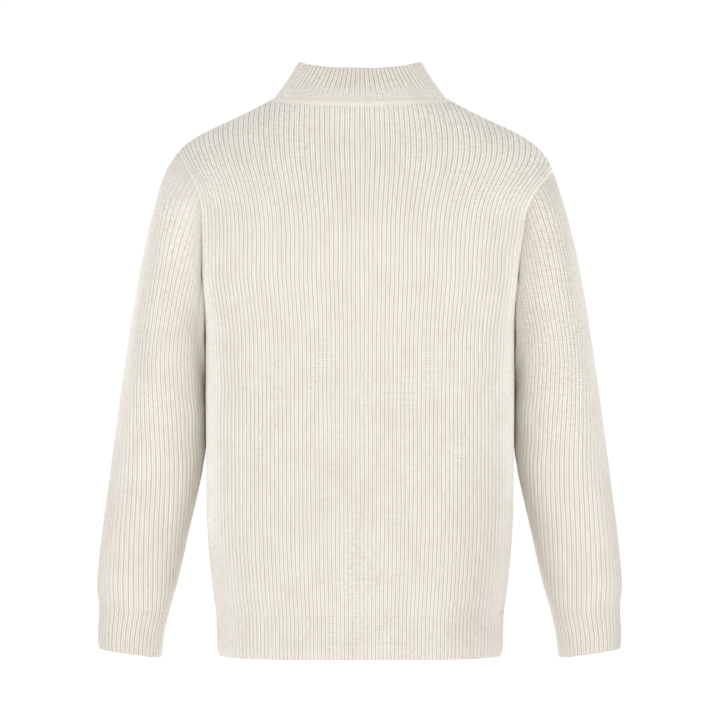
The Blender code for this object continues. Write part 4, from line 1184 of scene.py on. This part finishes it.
class NeckLine:
    """The neckline under the collar, by collar rib: its points and the way up from them."""

    def __init__(self):
        self.columns = fine(-COLLAR_RIBS, COLLAR_RIBS)
        count = len(self.columns)
        self.point = np.empty((count, 3))
        self.up = np.empty((count, 3))
        self.share, self.face = np.empty(count), np.empty(count)
        even = np.linspace(0, 1, 400)
        for side in (LEFT, RIGHT):
            pick = self.columns >= 0 if side > 0 else self.columns <= 0
            back, front = BODIES[BACK].neck_edge(side), BODIES[FRONT].neck_edge(side)
            line = np.concatenate([back, front[-2::-1]])
            line[:, 0] = side * np.abs(line[:, 0])
            out = np.concatenate([body_normal(back, BACK), body_normal(front, FRONT)[-2::-1]])
            length = line_length(line)
            length = length / length[-1]
            path = eased(read_line(even, length, line), 6)
            sides = unit(eased(read_line(even, length, out), 6, weight=1))
            ways = unit(np.cross(np.gradient(path, axis=0), sides))
            ways = ways * np.sign(ways[-1][2])
            at = np.abs(self.columns[pick]) / COLLAR_RIBS
            for target, source in ((self.point, path), (self.up, ways)):
                target[pick] = read_line(at, even, source)
            corner = length[len(back) - 1]
            behind = at <= corner
            self.share[pick] = np.where(behind, at / corner, (1 - at) / (1 - corner))
            self.face[pick] = np.where(behind, BACK, FRONT)
        self.up = unit(self.up)

    def collar(self, shares):
        """Points of the collar's crest surface by share of its height."""
        base = self.point + self.up * BAND_WIDTH
        side = np.where(self.columns >= 0, LEFT, RIGHT)
        x, y, reach = collar_loop(self.share, self.face)
        end = np.where(self.face > 0, COLLAR_TOP_BACK, COLLAR_TOP_FRONT)
        top = np.stack([side * x, y, COLLAR_TOP_SIDE + (end - COLLAR_TOP_SIDE) * reach**2], -1)
        points = base[None] + (top - base)[None] * shares[:, None, None]
        inward = unit(points * (-1, -1, 0))
        return points + inward * (COLLAR_HOLLOW * 4 * shares * (1 - shares))[:, None, None]


def front_end(columns, points):
    """Cuts a piece straight at the zip."""
    for column in (0, -1):
        points[:, column, 0] = math.copysign(PLACKET / 2, columns[column])
    return points


def collar_cloth(name):
    """The stand collar, from the linked band to its free top edge."""
    columns = NECK.columns
    shares = near_ends(26, 0.060, 0.060)
    points = front_end(columns, NECK.collar(shares))
    normals = grid_normals(points, points * (1, 1, 0))
    length = along_rows(points)
    free = rounding(length[-1:] - length)
    # The grooves are deepest at the top edge, and run out above the linked band.
    fade = 0.15 + 0.85 * np.clip(length / RIBS_RISE, 0, 1)
    outer = grooves(columns, dip(length), 1.1 * fade) + free
    inner = inner_face(columns) - free
    # Behind, where the collar crosses the middle, it has no edge.
    outer, inner = zip_edge(points, outer, inner, 10 * (points[..., 1] > 0))
    wave = 0.00025 * np.sin(columns * 0.33 + 0.8) + 0.0002 * np.sin(columns * 0.71)
    steady = np.clip((COLLAR_RIBS - np.abs(columns)) / STEADY_RIBS, 0, 1)
    points[..., 2] += wave[None] * shares[:, None] ** 3 * steady
    return thick_cloth(name, points, normals, outer, inner, stitch_map(columns, length))


def band_cloth(name):
    """The linked band laps the body's top edge and the collar's foot."""
    columns = NECK.columns
    shares = np.linspace(0, 1, 9)
    low, high = BAND_LAP
    up = low + (BAND_WIDTH + high - low) * shares
    collar = NECK.collar(np.array([0.0, 0.03]))
    lean = unit(collar[1] - collar[0])
    points = NECK.point[None] + NECK.up[None] * np.minimum(up, BAND_WIDTH)[:, None, None]
    points = points + lean[None] * np.maximum(up - BAND_WIDTH, 0)[:, None, None]
    points = front_end(columns, points)
    normals = grid_normals(points, points * (1, 1, 0) + (0, 0, 0.05))
    swell = np.sin(math.pi * shares)[:, None]
    outer = 0.0005 - 0.0010 * swell + np.zeros(points.shape[:2])
    inner = np.full(points.shape[:2], WALL)
    length = along_rows(points)
    return thick_cloth(name, points, normals, outer, inner, stitch_map(columns, length))


# ---- The zip ----


def front_path():
    """The front's profile beside the zip: points and outward vectors from hem to slider."""
    half = HALVES[(LEFT, FRONT)]
    hem = half.rows_at(np.linspace(HEM_BOTTOM, HEM_TOP - 0.002, 12))[:, 0]
    body = BODIES[FRONT].halves[LEFT][:, 0]
    collar = NECK.collar(np.linspace(0, SLIDER_SEAT, 14))[:, -1]
    line = np.concatenate([hem, body, collar])[:, 1:]
    length = line_length(line)
    path = eased(read_line(np.linspace(0, length[-1], 300), length, line), 10)
    along = unit(np.gradient(path, axis=0))
    out = np.stack([-along[:, 1], along[:, 0]], 1)
    return path, out, line_length(path)


def zip_place(distance, depth, x=0.0):
    """Points on the zip at distances up from the hem's edge, this deep below the surface."""
    path, out, length = PATH
    distance = np.asarray(distance, float)
    way = unit(read_line(distance, length, out))
    yz = read_line(distance, length, path) - way * np.asarray(depth)[..., None]
    x = np.broadcast_to(x, yz.shape[:-1])
    points = np.stack([x, yz[..., 0], yz[..., 1]], -1)
    return points, np.stack([np.zeros_like(x), way[..., 0], way[..., 1]], -1)


def tape_cloth(name, side):
    """A flat woven tape with a cord along its inner edge."""
    distance = np.linspace(0.001, PATH[2][-1] - 0.001, 220)
    x, swell = side * np.array(TAPE_ACROSS), np.array(TAPE_SWELL)
    if side < 0:
        x, swell = x[::-1], swell[::-1]
    depth = TAPE_DEPTH + swell[None] + np.zeros((len(distance), 1))
    points, normals = zip_place(np.repeat(distance[:, None], len(x), 1), depth, x[None])
    weave = np.stack(np.broadcast_arrays(x[None] * 1000, distance[:, None] * 1000), -1)
    zero = np.zeros(depth.shape)
    return thick_cloth(name, points, normals, zero, zero + TAPE_THICK, weave)


def finish_solid(bm, name, angle=40):
    """An object from finished faces, smooth but for edges sharper than the angle."""
    bmesh.ops.recalc_face_normals(bm, faces=bm.faces)
    mesh = bpy.data.meshes.new(name)
    bm.to_mesh(mesh)
    bm.free()
    mesh.shade_smooth()
    mesh.set_sharp_from_angle(angle=math.radians(angle))
    made = bpy.data.objects.new(name, mesh)
    bpy.context.scene.collection.objects.link(made)
    return made


def frame_matrix(distance, depth, x=0.0):
    """X across, Z up the zip, -Y outward, at a place on the zip."""
    (point,), (out,) = zip_place([distance], [depth], x)
    up = np.cross(out, (1.0, 0.0, 0.0))
    if up[2] < 0:
        up = -up
    turn = Matrix((Vector((1, 0, 0)), Vector(-out), Vector(up))).transposed().to_4x4()
    turn.translation = Vector(point)
    return turn


def soften(bm, edges, width, segments):
    """Rounds these edges off."""
    return bmesh.ops.bevel(
        bm, geom=edges, offset=width, segments=segments, profile=0.5,
        affect="EDGES", material=-1, clamp_overlap=True,
    )


def add_block(bm, size, matrix, bevel=0.0, segments=1):
    """A block with soft edges: its size, and where its middle goes."""
    made = bmesh.ops.create_cube(bm, size=1, matrix=matrix @ Matrix.Diagonal((*size, 1)))
    if bevel:
        soften(bm, list({e for v in made["verts"] for e in v.link_edges}), bevel, segments)


def corners_of(made, deep):
    """A cube's edges that run through its thickness."""
    edges = {e for v in made["verts"] for e in v.link_edges}
    return [e for e in edges if abs(e.verts[0].co.y - e.verts[1].co.y) > deep]


def moved_by(place, x=0.0, y=0.0, z=0.0):
    """A place shifted in its own directions."""
    return place @ Matrix.Translation((x, y, z))


def teeth(name):
    """Two rows of separate teeth, half a pitch apart, each a shank and a head."""
    s = settings()
    bm = bmesh.new()
    start, end = BOX_HEIGHT + 0.0005, PATH[2][-1] - 0.004
    for i in range(int((end - start) / s.teeth)):
        for side in (1, -1):
            at = start + (i + (0.5 if side < 0 else 0.0)) * s.teeth
            place = frame_matrix(at, TOOTH_DEPTH)
            add_block(bm, TOOTH_SHANK, moved_by(place, side * SHANK_OUT))
            add_block(bm, TOOTH_HEAD, moved_by(place, side * HEAD_OUT, -0.0001))
    soften(bm, list(bm.edges), TOOTH_SOFT, 1)
    return finish_solid(bm, name, 60)


def box_piece(name):
    """The box at the zip's foot, with its pin in front."""
    bm = bmesh.new()
    place = frame_matrix(BOX_HEIGHT / 2 + 0.0004, 0.0024)
    add_block(bm, (0.0088, 0.0042, BOX_HEIGHT - 0.0010), place, 0.0009, 3)
    pin = moved_by(place, y=-0.0019)
    add_block(bm, (0.0030, 0.0012, BOX_HEIGHT - 0.0040), pin, 0.0005, 2)
    return finish_solid(bm, name)


def seat():
    """The slider's place on the collar, turned to the collar's lean, and that lean."""
    low, high = NECK.collar(np.array([SLIDER_SEAT - 0.2, SLIDER_SEAT]))[:, -1]
    lean = math.atan2(high[1] - low[1], high[2] - low[2])
    point = Vector((0.0, high[1], high[2]))
    return Matrix.Translation(point) @ Matrix.Rotation(-lean, 4, "X"), lean


def add_plate(bm, thick, matrix):
    """A slider plate: wide at its top, narrower below, with round corners and a soft rim."""
    made = bmesh.ops.create_cube(bm, size=1)
    for v in made["verts"]:
        wide = PLATE_TOP if v.co.z > 0 else PLATE_BOTTOM
        v.co = Vector((math.copysign(wide, v.co.x), v.co.y * thick, v.co.z * PLATE_HEIGHT))
    rounded = soften(bm, corners_of(made, thick / 2), 0.0016, 4)
    verts = {v for f in rounded["faces"] for v in f.verts}
    verts |= {v for v in made["verts"] if v.is_valid}
    edges = {e for v in verts for e in v.link_edges}
    rim = [e for e in edges if abs(e.verts[0].co.y - e.verts[1].co.y) < 1e-7]
    soft = soften(bm, rim, 0.00035, 2)
    verts = {v for v in verts if v.is_valid} | {v for f in soft["faces"] for v in f.verts}
    bmesh.ops.transform(bm, matrix=matrix, verts=list(verts))


def slider_piece(name):
    """The slider: two plates on a post, and the bail that holds the tab."""
    place, _ = seat()
    behind = TAPE_DEPTH + TAPE_THICK
    bm = bmesh.new()
    add_plate(bm, 0.0014, moved_by(place, y=-0.0007))
    add_plate(bm, 0.0012, moved_by(place, y=behind + 0.0008))
    deep = behind + 0.0010
    add_block(bm, (0.0022, deep, 0.0022), moved_by(place, y=deep / 2, z=0.0036), 0.0005, 2)
    # The bail: a half ring over the front plate, from its foot to its head.
    made = bmesh.ops.create_circle(bm, cap_ends=False, radius=BAIL_WIRE, segments=BAIL_SIDES)
    centre = moved_by(place, y=-HINGE_OUT + 0.0012)
    start = moved_by(centre, z=-BAIL_RING) @ Matrix.Rotation(math.pi / 2, 4, "X")
    bmesh.ops.transform(bm, matrix=start, verts=made["verts"])
    bmesh.ops.spin(
        bm, geom=made["verts"] + list({e for v in made["verts"] for e in v.link_edges}),
        cent=centre.translation, axis=(1, 0, 0), angle=-math.pi, steps=14, use_merge=False,
    )
    open_edges = [e for e in bm.edges if e.is_boundary]
    bmesh.ops.holes_fill(bm, edges=open_edges, sides=BAIL_SIDES)
    for foot in (-BAIL_RING, BAIL_RING):
        add_block(bm, (0.0016, 0.0018, 0.0013), moved_by(centre, y=0.0008, z=foot), 0.0003, 2)
    return finish_solid(bm, name)


def tab_piece(name):
    """The pull tab, hanging from its hinge in the bail."""
    place, lean = seat()
    hinge = moved_by(place, y=-HINGE_OUT).translation
    hang = Matrix.Translation(hinge) @ Matrix.Rotation(-lean - TAB_REST, 4, "X")
    bm = bmesh.new()
    # The eye: a bar through the bail, two arms, and the flat grip below.
    wide = TAB_WIDTH / 2
    add_block(bm, (2 * wide - 0.0012, TAB_THICK, 0.0014), hang, 0.0004, 2)
    for x in (-1, 1):
        arm = moved_by(hang, x * (wide - 0.0010), 0, -0.0027)
        add_block(bm, (0.0017, TAB_THICK, 0.0060), arm, 0.0004, 2)
    grip = bmesh.ops.create_cube(bm, size=1)
    for v in grip["verts"]:
        half = wide if v.co.z < 0 else wide - 0.0004
        z = -0.0046 if v.co.z > 0 else -TAB_LENGTH
        v.co = Vector((math.copysign(half, v.co.x), v.co.y * 0.0014, z))
    low = [e for e in corners_of(grip, 0.0007) if e.verts[0].co.z < -0.01]
    rounded = soften(bm, low, 0.0027, 6)
    verts = {v for f in rounded["faces"] for v in f.verts}
    verts |= {v for v in grip["verts"] if v.is_valid}
    # Both flat faces are sunk a little inside a narrow rim.
    flats = [f for f in {f for v in verts for f in v.link_faces} if abs(f.normal.y) > 0.9]
    sunk = bmesh.ops.inset_individual(bm, faces=flats, thickness=0.0010, depth=0.0)
    bmesh.ops.inset_individual(bm, faces=flats, thickness=0.0002, depth=-0.00022)
    verts |= {v for f in sunk["faces"] for v in f.verts} | {v for f in flats for v in f.verts}
    ends = {w for v in verts for e in v.link_edges for w in e.verts}
    verts |= {v for v in ends if v.co.z < -0.0045}
    bmesh.ops.transform(bm, matrix=hang, verts=list({v for v in verts if v.is_valid}))
    return finish_solid(bm, name, 35)


# ---- Materials ----


class Nodes:
    """A node material under construction."""

    def __init__(self, name):
        self.material = bpy.data.materials.new(name)
        self.material.use_nodes = True
        self.tree = self.material.node_tree
        self.shader = self.tree.nodes["Principled BSDF"]

    def add(self, kind, **values):
        node = self.tree.nodes.new(kind)
        for key, value in values.items():
            setattr(node, key, value)
        return node

    def feed(self, value, socket):
        if isinstance(value, bpy.types.NodeSocket):
            self.tree.links.new(value, socket)
        else:
            socket.default_value = value

    def math(self, operation, a, b=0.0, c=0.0):
        node = self.add("ShaderNodeMath", operation=operation)
        for socket, value in zip(node.inputs, (a, b, c)):
            self.feed(value, socket)
        return node.outputs[0]

    def times(self, a, b):
        return self.math("MULTIPLY", a, b)

    def step(self, value, low, high, start=0.0, end=1.0):
        """Smooth from start at low to end at high."""
        node = self.add("ShaderNodeMapRange", interpolation_type="SMOOTHSTEP")
        for socket, each in zip(node.inputs, (value, low, high, start, end)):
            self.feed(each, socket)
        return node.outputs[0]

    def mix(self, share, a, b, kind="MIX"):
        node = self.add("ShaderNodeMix", data_type="RGBA", blend_type=kind)
        self.feed(share, node.inputs[0])
        for socket, value in ((node.inputs[6], a), (node.inputs[7], b)):
            self.feed((*value, 1.0) if isinstance(value, tuple) else value, socket)
        return node.outputs[2]

    def noise(self, vector, scale, detail=2.0, rough=0.5):
        node = self.add("ShaderNodeTexNoise")
        self.feed(vector, node.inputs["Vector"])
        node.inputs["Scale"].default_value = scale
        node.inputs["Detail"].default_value = detail
        node.inputs["Roughness"].default_value = rough
        return node.outputs["Fac"]

    def vector(self, x, y, z=0.0):
        node = self.add("ShaderNodeCombineXYZ")
        for socket, value in zip(node.inputs, (x, y, z)):
            self.feed(value, socket)
        return node.outputs[0]

    def stitches(self):
        node = self.add("ShaderNodeUVMap", uv_map="UVMap")
        split = self.add("ShaderNodeSeparateXYZ")
        self.tree.links.new(node.outputs[0], split.inputs[0])
        return split.outputs[0], split.outputs[1]

    def place(self):
        return self.add("ShaderNodeTexCoord").outputs["Object"]

    def bump(self, height, distance, strength=1.0):
        node = self.add("ShaderNodeBump")
        node.inputs["Strength"].default_value = strength
        node.inputs["Distance"].default_value = distance
        self.feed(height, node.inputs["Height"])
        self.tree.links.new(node.outputs[0], self.shader.inputs["Normal"])

    def finish(self, colour, roughness):
        self.feed(colour, self.shader.inputs["Base Color"])
        self.feed(roughness, self.shader.inputs["Roughness"])
        return self.material


def heather(n, base):
    """Fibres of darker colours, spun in unevenly along each course of yarn."""
    s = settings()
    warm, cool = tuple(s.fleck), tuple(s.grey)
    place = n.place()
    u, v = n.stitches()
    streak = n.noise(n.vector(n.times(u, 0.8), n.times(v, 0.55)), 1.0, 3.0, 0.65)
    shifted = n.math("MULTIPLY_ADD", v, 0.4, 50.0)
    other = n.noise(n.vector(n.times(u, 0.9), shifted), 1.0, 3.0, 0.65)
    tiny = n.noise(place, 820.0, 2.0, 0.7)
    spots = n.times(n.step(tiny, 0.52, 0.72), n.step(streak, 0.40, 0.62))
    cloud = n.noise(place, 30.0, 3.0, 0.6)
    colour = n.mix(n.step(cloud, 0.35, 0.75, 0.0, 0.13), base, warm)
    colour = n.mix(n.times(n.step(streak, 0.50, 0.75), 0.17), colour, warm)
    colour = n.mix(n.times(n.step(other, 0.52, 0.76), 0.20), colour, cool)
    return n.mix(n.times(spots, 0.50), colour, warm), place, streak


def knit_material(name, ribbed=True, fading=False):
    """Two wales of stitches a rib: u counts ribs, v counts courses."""
    s = settings()
    n = Nodes(name)
    base, shade = tuple(s.yarn), tuple(s.shade)
    if fading:
        base = tuple(0.97 * c for c in base)
    elif not ribbed:
        base = (0.88 * base[0], 0.85 * base[1], 0.82 * base[2])
    colour, place, streak = heather(n, base)
    u, v = n.stitches()
    wales = n.times(u, 2.0 if ribbed else 3.0)
    beside = n.math("ABSOLUTE", n.math("SUBTRACT", n.math("FRACT", wales), 0.5))
    rise = n.math("SUBTRACT", v, n.times(beside, 1.1))
    wave = n.math("MULTIPLY_ADD", n.math("COSINE", n.times(rise, 2 * math.pi)), 0.5, 0.5)
    crown = n.math("SUBTRACT", 1.0, n.math("POWER", n.times(beside, 2.0), 2.5))
    loop = n.times(crown, n.math("MULTIPLY_ADD", wave, 0.8, 0.2))
    patchy = n.step(streak, 0.35, 0.65, 0.46, 0.62)
    gaps = n.times(n.step(loop, 0.62, 0.10), patchy if ribbed else 0.15)
    contrast = n.add("ShaderNodeAttribute", attribute_name="contrast").outputs["Fac"]
    # This attribute carries painted light and shade; it tints red less than green and blue.
    painted_shading = n.add("ShaderNodeAttribute", attribute_name="painted_shading").outputs["Fac"]
    warm = n.math("MULTIPLY_ADD", painted_shading, 0.88, 0.12)
    colour = n.mix(1.0, colour, n.vector(warm, painted_shading, painted_shading), "MULTIPLY")
    # Painted shade between the loops and, below, in the grooves, both weaker where contrast is low.
    gaps = n.times(gaps, contrast)
    colour = n.mix(gaps, colour, shade)
    if ribbed:
        off = n.math("ABSOLUTE", n.math("SUBTRACT", n.math("FRACT", u), 0.5))
        ladder = n.math("COSINE", n.times(v, 2 * math.pi))
        uneven = n.noise(n.vector(u, n.times(v, 0.6)), 1.0, 3.0, 0.7)
        valley = n.times(n.step(off, 0.34, 0.46), n.step(uneven, 0.32, 0.68, 0.30, 1.25))
        valley = n.times(valley, n.math("MULTIPLY_ADD", ladder, 0.36, 0.65))
        if fading:
            valley = n.times(valley, n.step(v, 1.0, 12.0, 0.1, 1.5))
        colour = n.mix(n.times(valley, contrast), colour, shade)
    fuzz = n.noise(place, 2600.0, 2.0, 0.7)
    n.bump(n.math("MULTIPLY_ADD", fuzz, 0.45, loop), 0.0008, 0.8)
    n.shader.inputs["Sheen Weight"].default_value = 0.25
    n.shader.inputs["Sheen Roughness"].default_value = 0.6
    n.shader.inputs["Specular IOR Level"].default_value = 0.2
    return n.finish(colour, n.step(fuzz, 0.2, 0.8, 0.86, 0.98))


def tape_material(name):
    """A plain weave with painted shade in its hollows: u and v are in millimetres."""
    s = settings()
    n = Nodes(name)
    u, v = n.stitches()
    warp = n.math("SINE", n.times(u, 2 * math.pi / 0.8))
    weft = n.math("SINE", n.times(v, 2 * math.pi / 0.5))
    weave = n.math("MULTIPLY_ADD", n.times(warp, weft), 0.5, 0.5)
    tint = n.noise(n.place(), 300.0, 3.0)
    colour = n.mix(n.step(weave, 0.1, 0.9, 0.35, 0.0), tuple(s.tape), (0.45, 0.40, 0.31))
    colour = n.mix(n.step(tint, 0.3, 0.8, 0.0, 0.22), colour, (0.52, 0.46, 0.36))
    n.bump(weave, 0.0002, 0.8)
    return n.finish(colour, n.step(tint, 0.3, 0.7, 0.75, 0.9))


def metal_material(name, dull=0.0):
    """Satin nickel with darker wear and paler smears."""
    s = settings()
    n = Nodes(name)
    place = n.place()
    wear = n.noise(place, 420.0, 4.0, 0.6)
    smear = n.noise(place, 90.0, 2.0)
    colour = n.mix(n.step(wear, 0.45, 0.75, 0.0, 0.45), tuple(s.metal), (0.40, 0.385, 0.36))
    colour = n.mix(n.step(smear, 0.4, 0.7, 0.0, 0.25), colour, (0.72, 0.70, 0.66))
    n.shader.inputs["Metallic"].default_value = 1.0
    n.bump(n.noise(place, 1800.0, 2.0), 0.00004, 0.5)
    return n.finish(colour, n.step(smear, 0.3, 0.7, 0.26 + dull, 0.42 + dull))


def material(key):
    """The finish of that name, made once."""
    made = bpy.data.materials.get(key)
    if made is None:
        made = {
            "Rib knit": lambda: knit_material("Rib knit"),
            "Collar knit": lambda: knit_material("Collar knit", fading=True),
            "Linked knit": lambda: knit_material("Linked knit", ribbed=False),
            "Woven tape": lambda: tape_material("Woven tape"),
            "Nickel": lambda: metal_material("Nickel"),
            "Nickel teeth": lambda: metal_material("Nickel teeth", 0.06),
        }[key]()
    return made


# ---- Operators ----


class CARDIGAN_OT_back(bpy.types.Operator):
    """Knit the back panel."""

    bl_idname = "cardigan.back"
    bl_label = "Back panel"

    def execute(self, context):
        made = body_cloth("back_cloth", -BODY_RIBS, BODY_RIBS, BACK, BACK_CREASES)
        dress(made, material("Rib knit"), "knit", "garment", "back_panel")
        return {"FINISHED"}


class CARDIGAN_OT_fronts(bpy.types.Operator):
    """Knit the left and right front panels."""

    bl_idname = "cardigan.fronts"
    bl_label = "Front panels"

    def execute(self, context):
        for side, first, last in (("left", 0, BODY_RIBS), ("right", -BODY_RIBS, 0)):
            made = body_cloth(f"front_{side}_cloth", first, last, FRONT, FRONT_CREASES)
            dress(made, material("Rib knit"), "knit", "garment", f"front_{side}")
        return {"FINISHED"}


class CARDIGAN_OT_hems(bpy.types.Operator):
    """Knit the three hem bands."""

    bl_idname = "cardigan.hems"
    bl_label = "Hem bands"

    def execute(self, context):
        rows = (
            ("hem_back", -BODY_RIBS, BODY_RIBS, BACK, 0.47),
            ("hem_front_left", 0, BODY_RIBS, FRONT, 0.235),
            ("hem_front_right", -BODY_RIBS, 0, FRONT, 0.235),
        )
        for node, first, last, face, width in rows:
            made = hem_cloth(node + "_cloth", first, last, face)
            dress(made, material("Rib knit"), "knit", "garment", node)
        return {"FINISHED"}


class CARDIGAN_OT_sleeves(bpy.types.Operator):
    """Knit the two sleeves."""

    bl_idname = "cardigan.sleeves"
    bl_label = "Sleeves"

    def execute(self, context):
        for side, sign in SIDES:
            made = sleeve_cloth(f"sleeve_{side}_cloth", sign)
            dress(made, material("Rib knit"), "knit", "garment", f"sleeve_{side}")
        return {"FINISHED"}


class CARDIGAN_OT_cuffs(bpy.types.Operator):
    """Knit the two cuffs."""

    bl_idname = "cardigan.cuffs"
    bl_label = "Cuffs"

    def execute(self, context):
        for side, sign in SIDES:
            made = cuff_cloth(f"cuff_{side}_cloth", sign)
            dress(made, material("Rib knit"), "knit", "garment", f"cuff_{side}")
        return {"FINISHED"}


class CARDIGAN_OT_collar(bpy.types.Operator):
    """Knit the stand collar and the linked band at its foot."""

    bl_idname = "cardigan.collar"
    bl_label = "Collar and neck band"

    def execute(self, context):
        made = collar_cloth("collar_cloth")
        dress(made, material("Collar knit"), "knit", "garment", "collar")
        made = band_cloth("neck_band_cloth")
        dress(made, material("Linked knit"), "linking", "garment", "neck_band")
        return {"FINISHED"}


class CARDIGAN_OT_zip(bpy.types.Operator):
    """Fit the zip: tapes, teeth, box and slider."""

    bl_idname = "cardigan.zip"
    bl_label = "Zip"

    def execute(self, context):
        for side, sign in SIDES:
            made = tape_cloth(f"zip_tape_{side}_cloth", sign)
            dress(made, material("Woven tape"), "zip_tape", "garment", f"zip_tape_{side}")
        dress(teeth("zip_teeth"), material("Nickel teeth"), "zip_metal", "garment", "zip_chain")
        dress(box_piece("zip_box_metal"), material("Nickel"), "zip_metal", "garment", "zip_box")
        dress(slider_piece("slider_metal"), material("Nickel"), "zip_metal", "garment", "slider")
        return {"FINISHED"}


class CARDIGAN_OT_tab(bpy.types.Operator):
    """Hang the pull tab on the slider."""

    bl_idname = "cardigan.tab"
    bl_label = "Pull tab"

    def execute(self, context):
        dress(tab_piece("pull_tab_metal"), material("Nickel"), "zip_metal", "pull_tab", "pull_tab")
        return {"FINISHED"}


class CARDIGAN_OT_stage(bpy.types.Operator):
    """Set the pale floor, the lights and the camera."""

    bl_idname = "cardigan.stage"
    bl_label = "Stage"

    def execute(self, context):
        for part in (set_floor, set_room, set_lights, set_camera):
            part(context.scene.stage)
        return {"FINISHED"}


def area_light(name, place, target, power):
    """A round soft light that looks at the target."""
    light = bpy.data.lights.new(name, "AREA")
    light.shape = "DISK"
    light.size = LIGHT_SIZE
    light.energy = power
    made = bpy.data.objects.new(name, light)
    bpy.context.scene.collection.objects.link(made)
    made.location = place
    made.rotation_euler = (Vector(target) - Vector(place)).to_track_quat("-Z", "Y").to_euler()


# Name, place and share of the power; each is set up behind the garment and in front of it.
LIGHTS = (
    ("key", (-2.3, 2.9, 1.7), 1.0),
    ("fill", (2.4, 2.9, 1.3), 0.9),
)


def set_floor(s):
    """A wide pale floor with a little light of its own."""
    bm = bmesh.new()
    bmesh.ops.create_circle(bm, cap_ends=True, radius=14.0, segments=96)
    floor = finish_solid(bm, "floor")
    floor.data.transform(Matrix.Translation((0, 0, s.floor)))
    n = Nodes("Pale floor")
    tint = n.noise(n.place(), 1.5, 3.0)
    colour = n.mix(n.step(tint, 0.3, 0.7), (0.93, 0.93, 0.93), (0.96, 0.96, 0.96))
    floor.data.materials.append(n.finish(colour, 0.7))
    n.shader.inputs["Emission Color"].default_value = (1, 1, 1, 1)
    n.shader.inputs["Emission Strength"].default_value = 0.50


def set_room(s):
    """Surroundings that are white at eye level on every side, softer overhead and underfoot."""
    world = bpy.data.worlds.new("White room")
    world.use_nodes = True
    tree = world.node_tree
    way = tree.nodes.new("ShaderNodeTexCoord").outputs["Generated"]
    split = tree.nodes.new("ShaderNodeSeparateXYZ")
    high = tree.nodes.new("ShaderNodeMath")
    high.operation = "ABSOLUTE"
    fade = tree.nodes.new("ShaderNodeMapRange")
    fade.interpolation_type = "SMOOTHSTEP"
    for socket, value in zip(fade.inputs[1:5], (0.10, 0.36, 1.03, s.sky)):
        socket.default_value = value
    tree.links.new(way, split.inputs[0])
    tree.links.new(split.outputs[2], high.inputs[0])
    tree.links.new(high.outputs[0], fade.inputs[0])
    tree.links.new(fade.outputs[0], tree.nodes["Background"].inputs[1])
    tree.nodes["Background"].inputs[0].default_value = (1, 1, 1, 1)
    bpy.context.scene.world = world


def set_lights(s):
    """The same pair of lights behind the garment and in front of it."""
    target = (0, 0, s.eye)
    for name, (x, y, z), share in LIGHTS:
        area_light("Back " + name, (x, y, z), target, share * s.key)
        area_light("Front " + name, (-x, -y, z), target, share * s.key)


def set_camera(s):
    """A long lens that looks level at the back."""
    scene = bpy.context.scene
    camera = bpy.data.cameras.new("Camera")
    camera.lens = s.lens
    camera.sensor_width = 36.0
    camera.clip_end = 60.0
    made = bpy.data.objects.new("Camera", camera)
    scene.collection.objects.link(made)
    made.location = (0.0, s.distance, s.eye)
    made.rotation_euler = (math.pi / 2, 0.0, math.pi)
    scene.camera = made
    scene.view_settings.view_transform = "Standard"
    scene.view_settings.look = "None"


class CARDIGAN_PT_pieces(bpy.types.Panel):
    """Lists the settings and the pieces."""

    bl_idname = "CARDIGAN_PT_pieces"
    bl_label = "Cardigan"
    bl_space_type = "VIEW_3D"
    bl_region_type = "UI"
    bl_category = "Cardigan"

    def draw(self, context):
        layout = self.layout
        for group in (context.scene.cardigan, context.scene.stage):
            box = layout.box()
            for key in group.__annotations__:
                box.prop(group, key)
        for each in OPERATORS:
            layout.operator(each.bl_idname)


OPERATORS = (
    CARDIGAN_OT_stage,
    CARDIGAN_OT_hems,
    CARDIGAN_OT_back,
    CARDIGAN_OT_fronts,
    CARDIGAN_OT_sleeves,
    CARDIGAN_OT_cuffs,
    CARDIGAN_OT_collar,
    CARDIGAN_OT_zip,
    CARDIGAN_OT_tab,
)
CLASSES = (CardiganSettings, StageSettings, *OPERATORS, CARDIGAN_PT_pieces)

# Worked out once, and read by several pieces.
HALVES = {(side, face): HalfBody(side, face) for side in (LEFT, RIGHT) for face in (BACK, FRONT)}
BODIES = {face: Body(face) for face in (BACK, FRONT)}
NECK = NeckLine()
PATH = front_path()


def register():
    """Adds the classes and the scene's settings."""
    for each in CLASSES:
        bpy.utils.register_class(each)
    bpy.types.Scene.cardigan = PointerProperty(type=CardiganSettings)
    bpy.types.Scene.stage = PointerProperty(type=StageSettings)


def unregister():
    """Takes them away again."""
    del bpy.types.Scene.stage
    del bpy.types.Scene.cardigan
    for each in reversed(CLASSES):
        bpy.utils.unregister_class(each)


def main():
    """Builds the stage and every piece."""
    register()
    for each in OPERATORS:
        group, name = each.bl_idname.split(".")
        getattr(getattr(bpy.ops, group), name)()


if __name__ == "__main__":
    main()
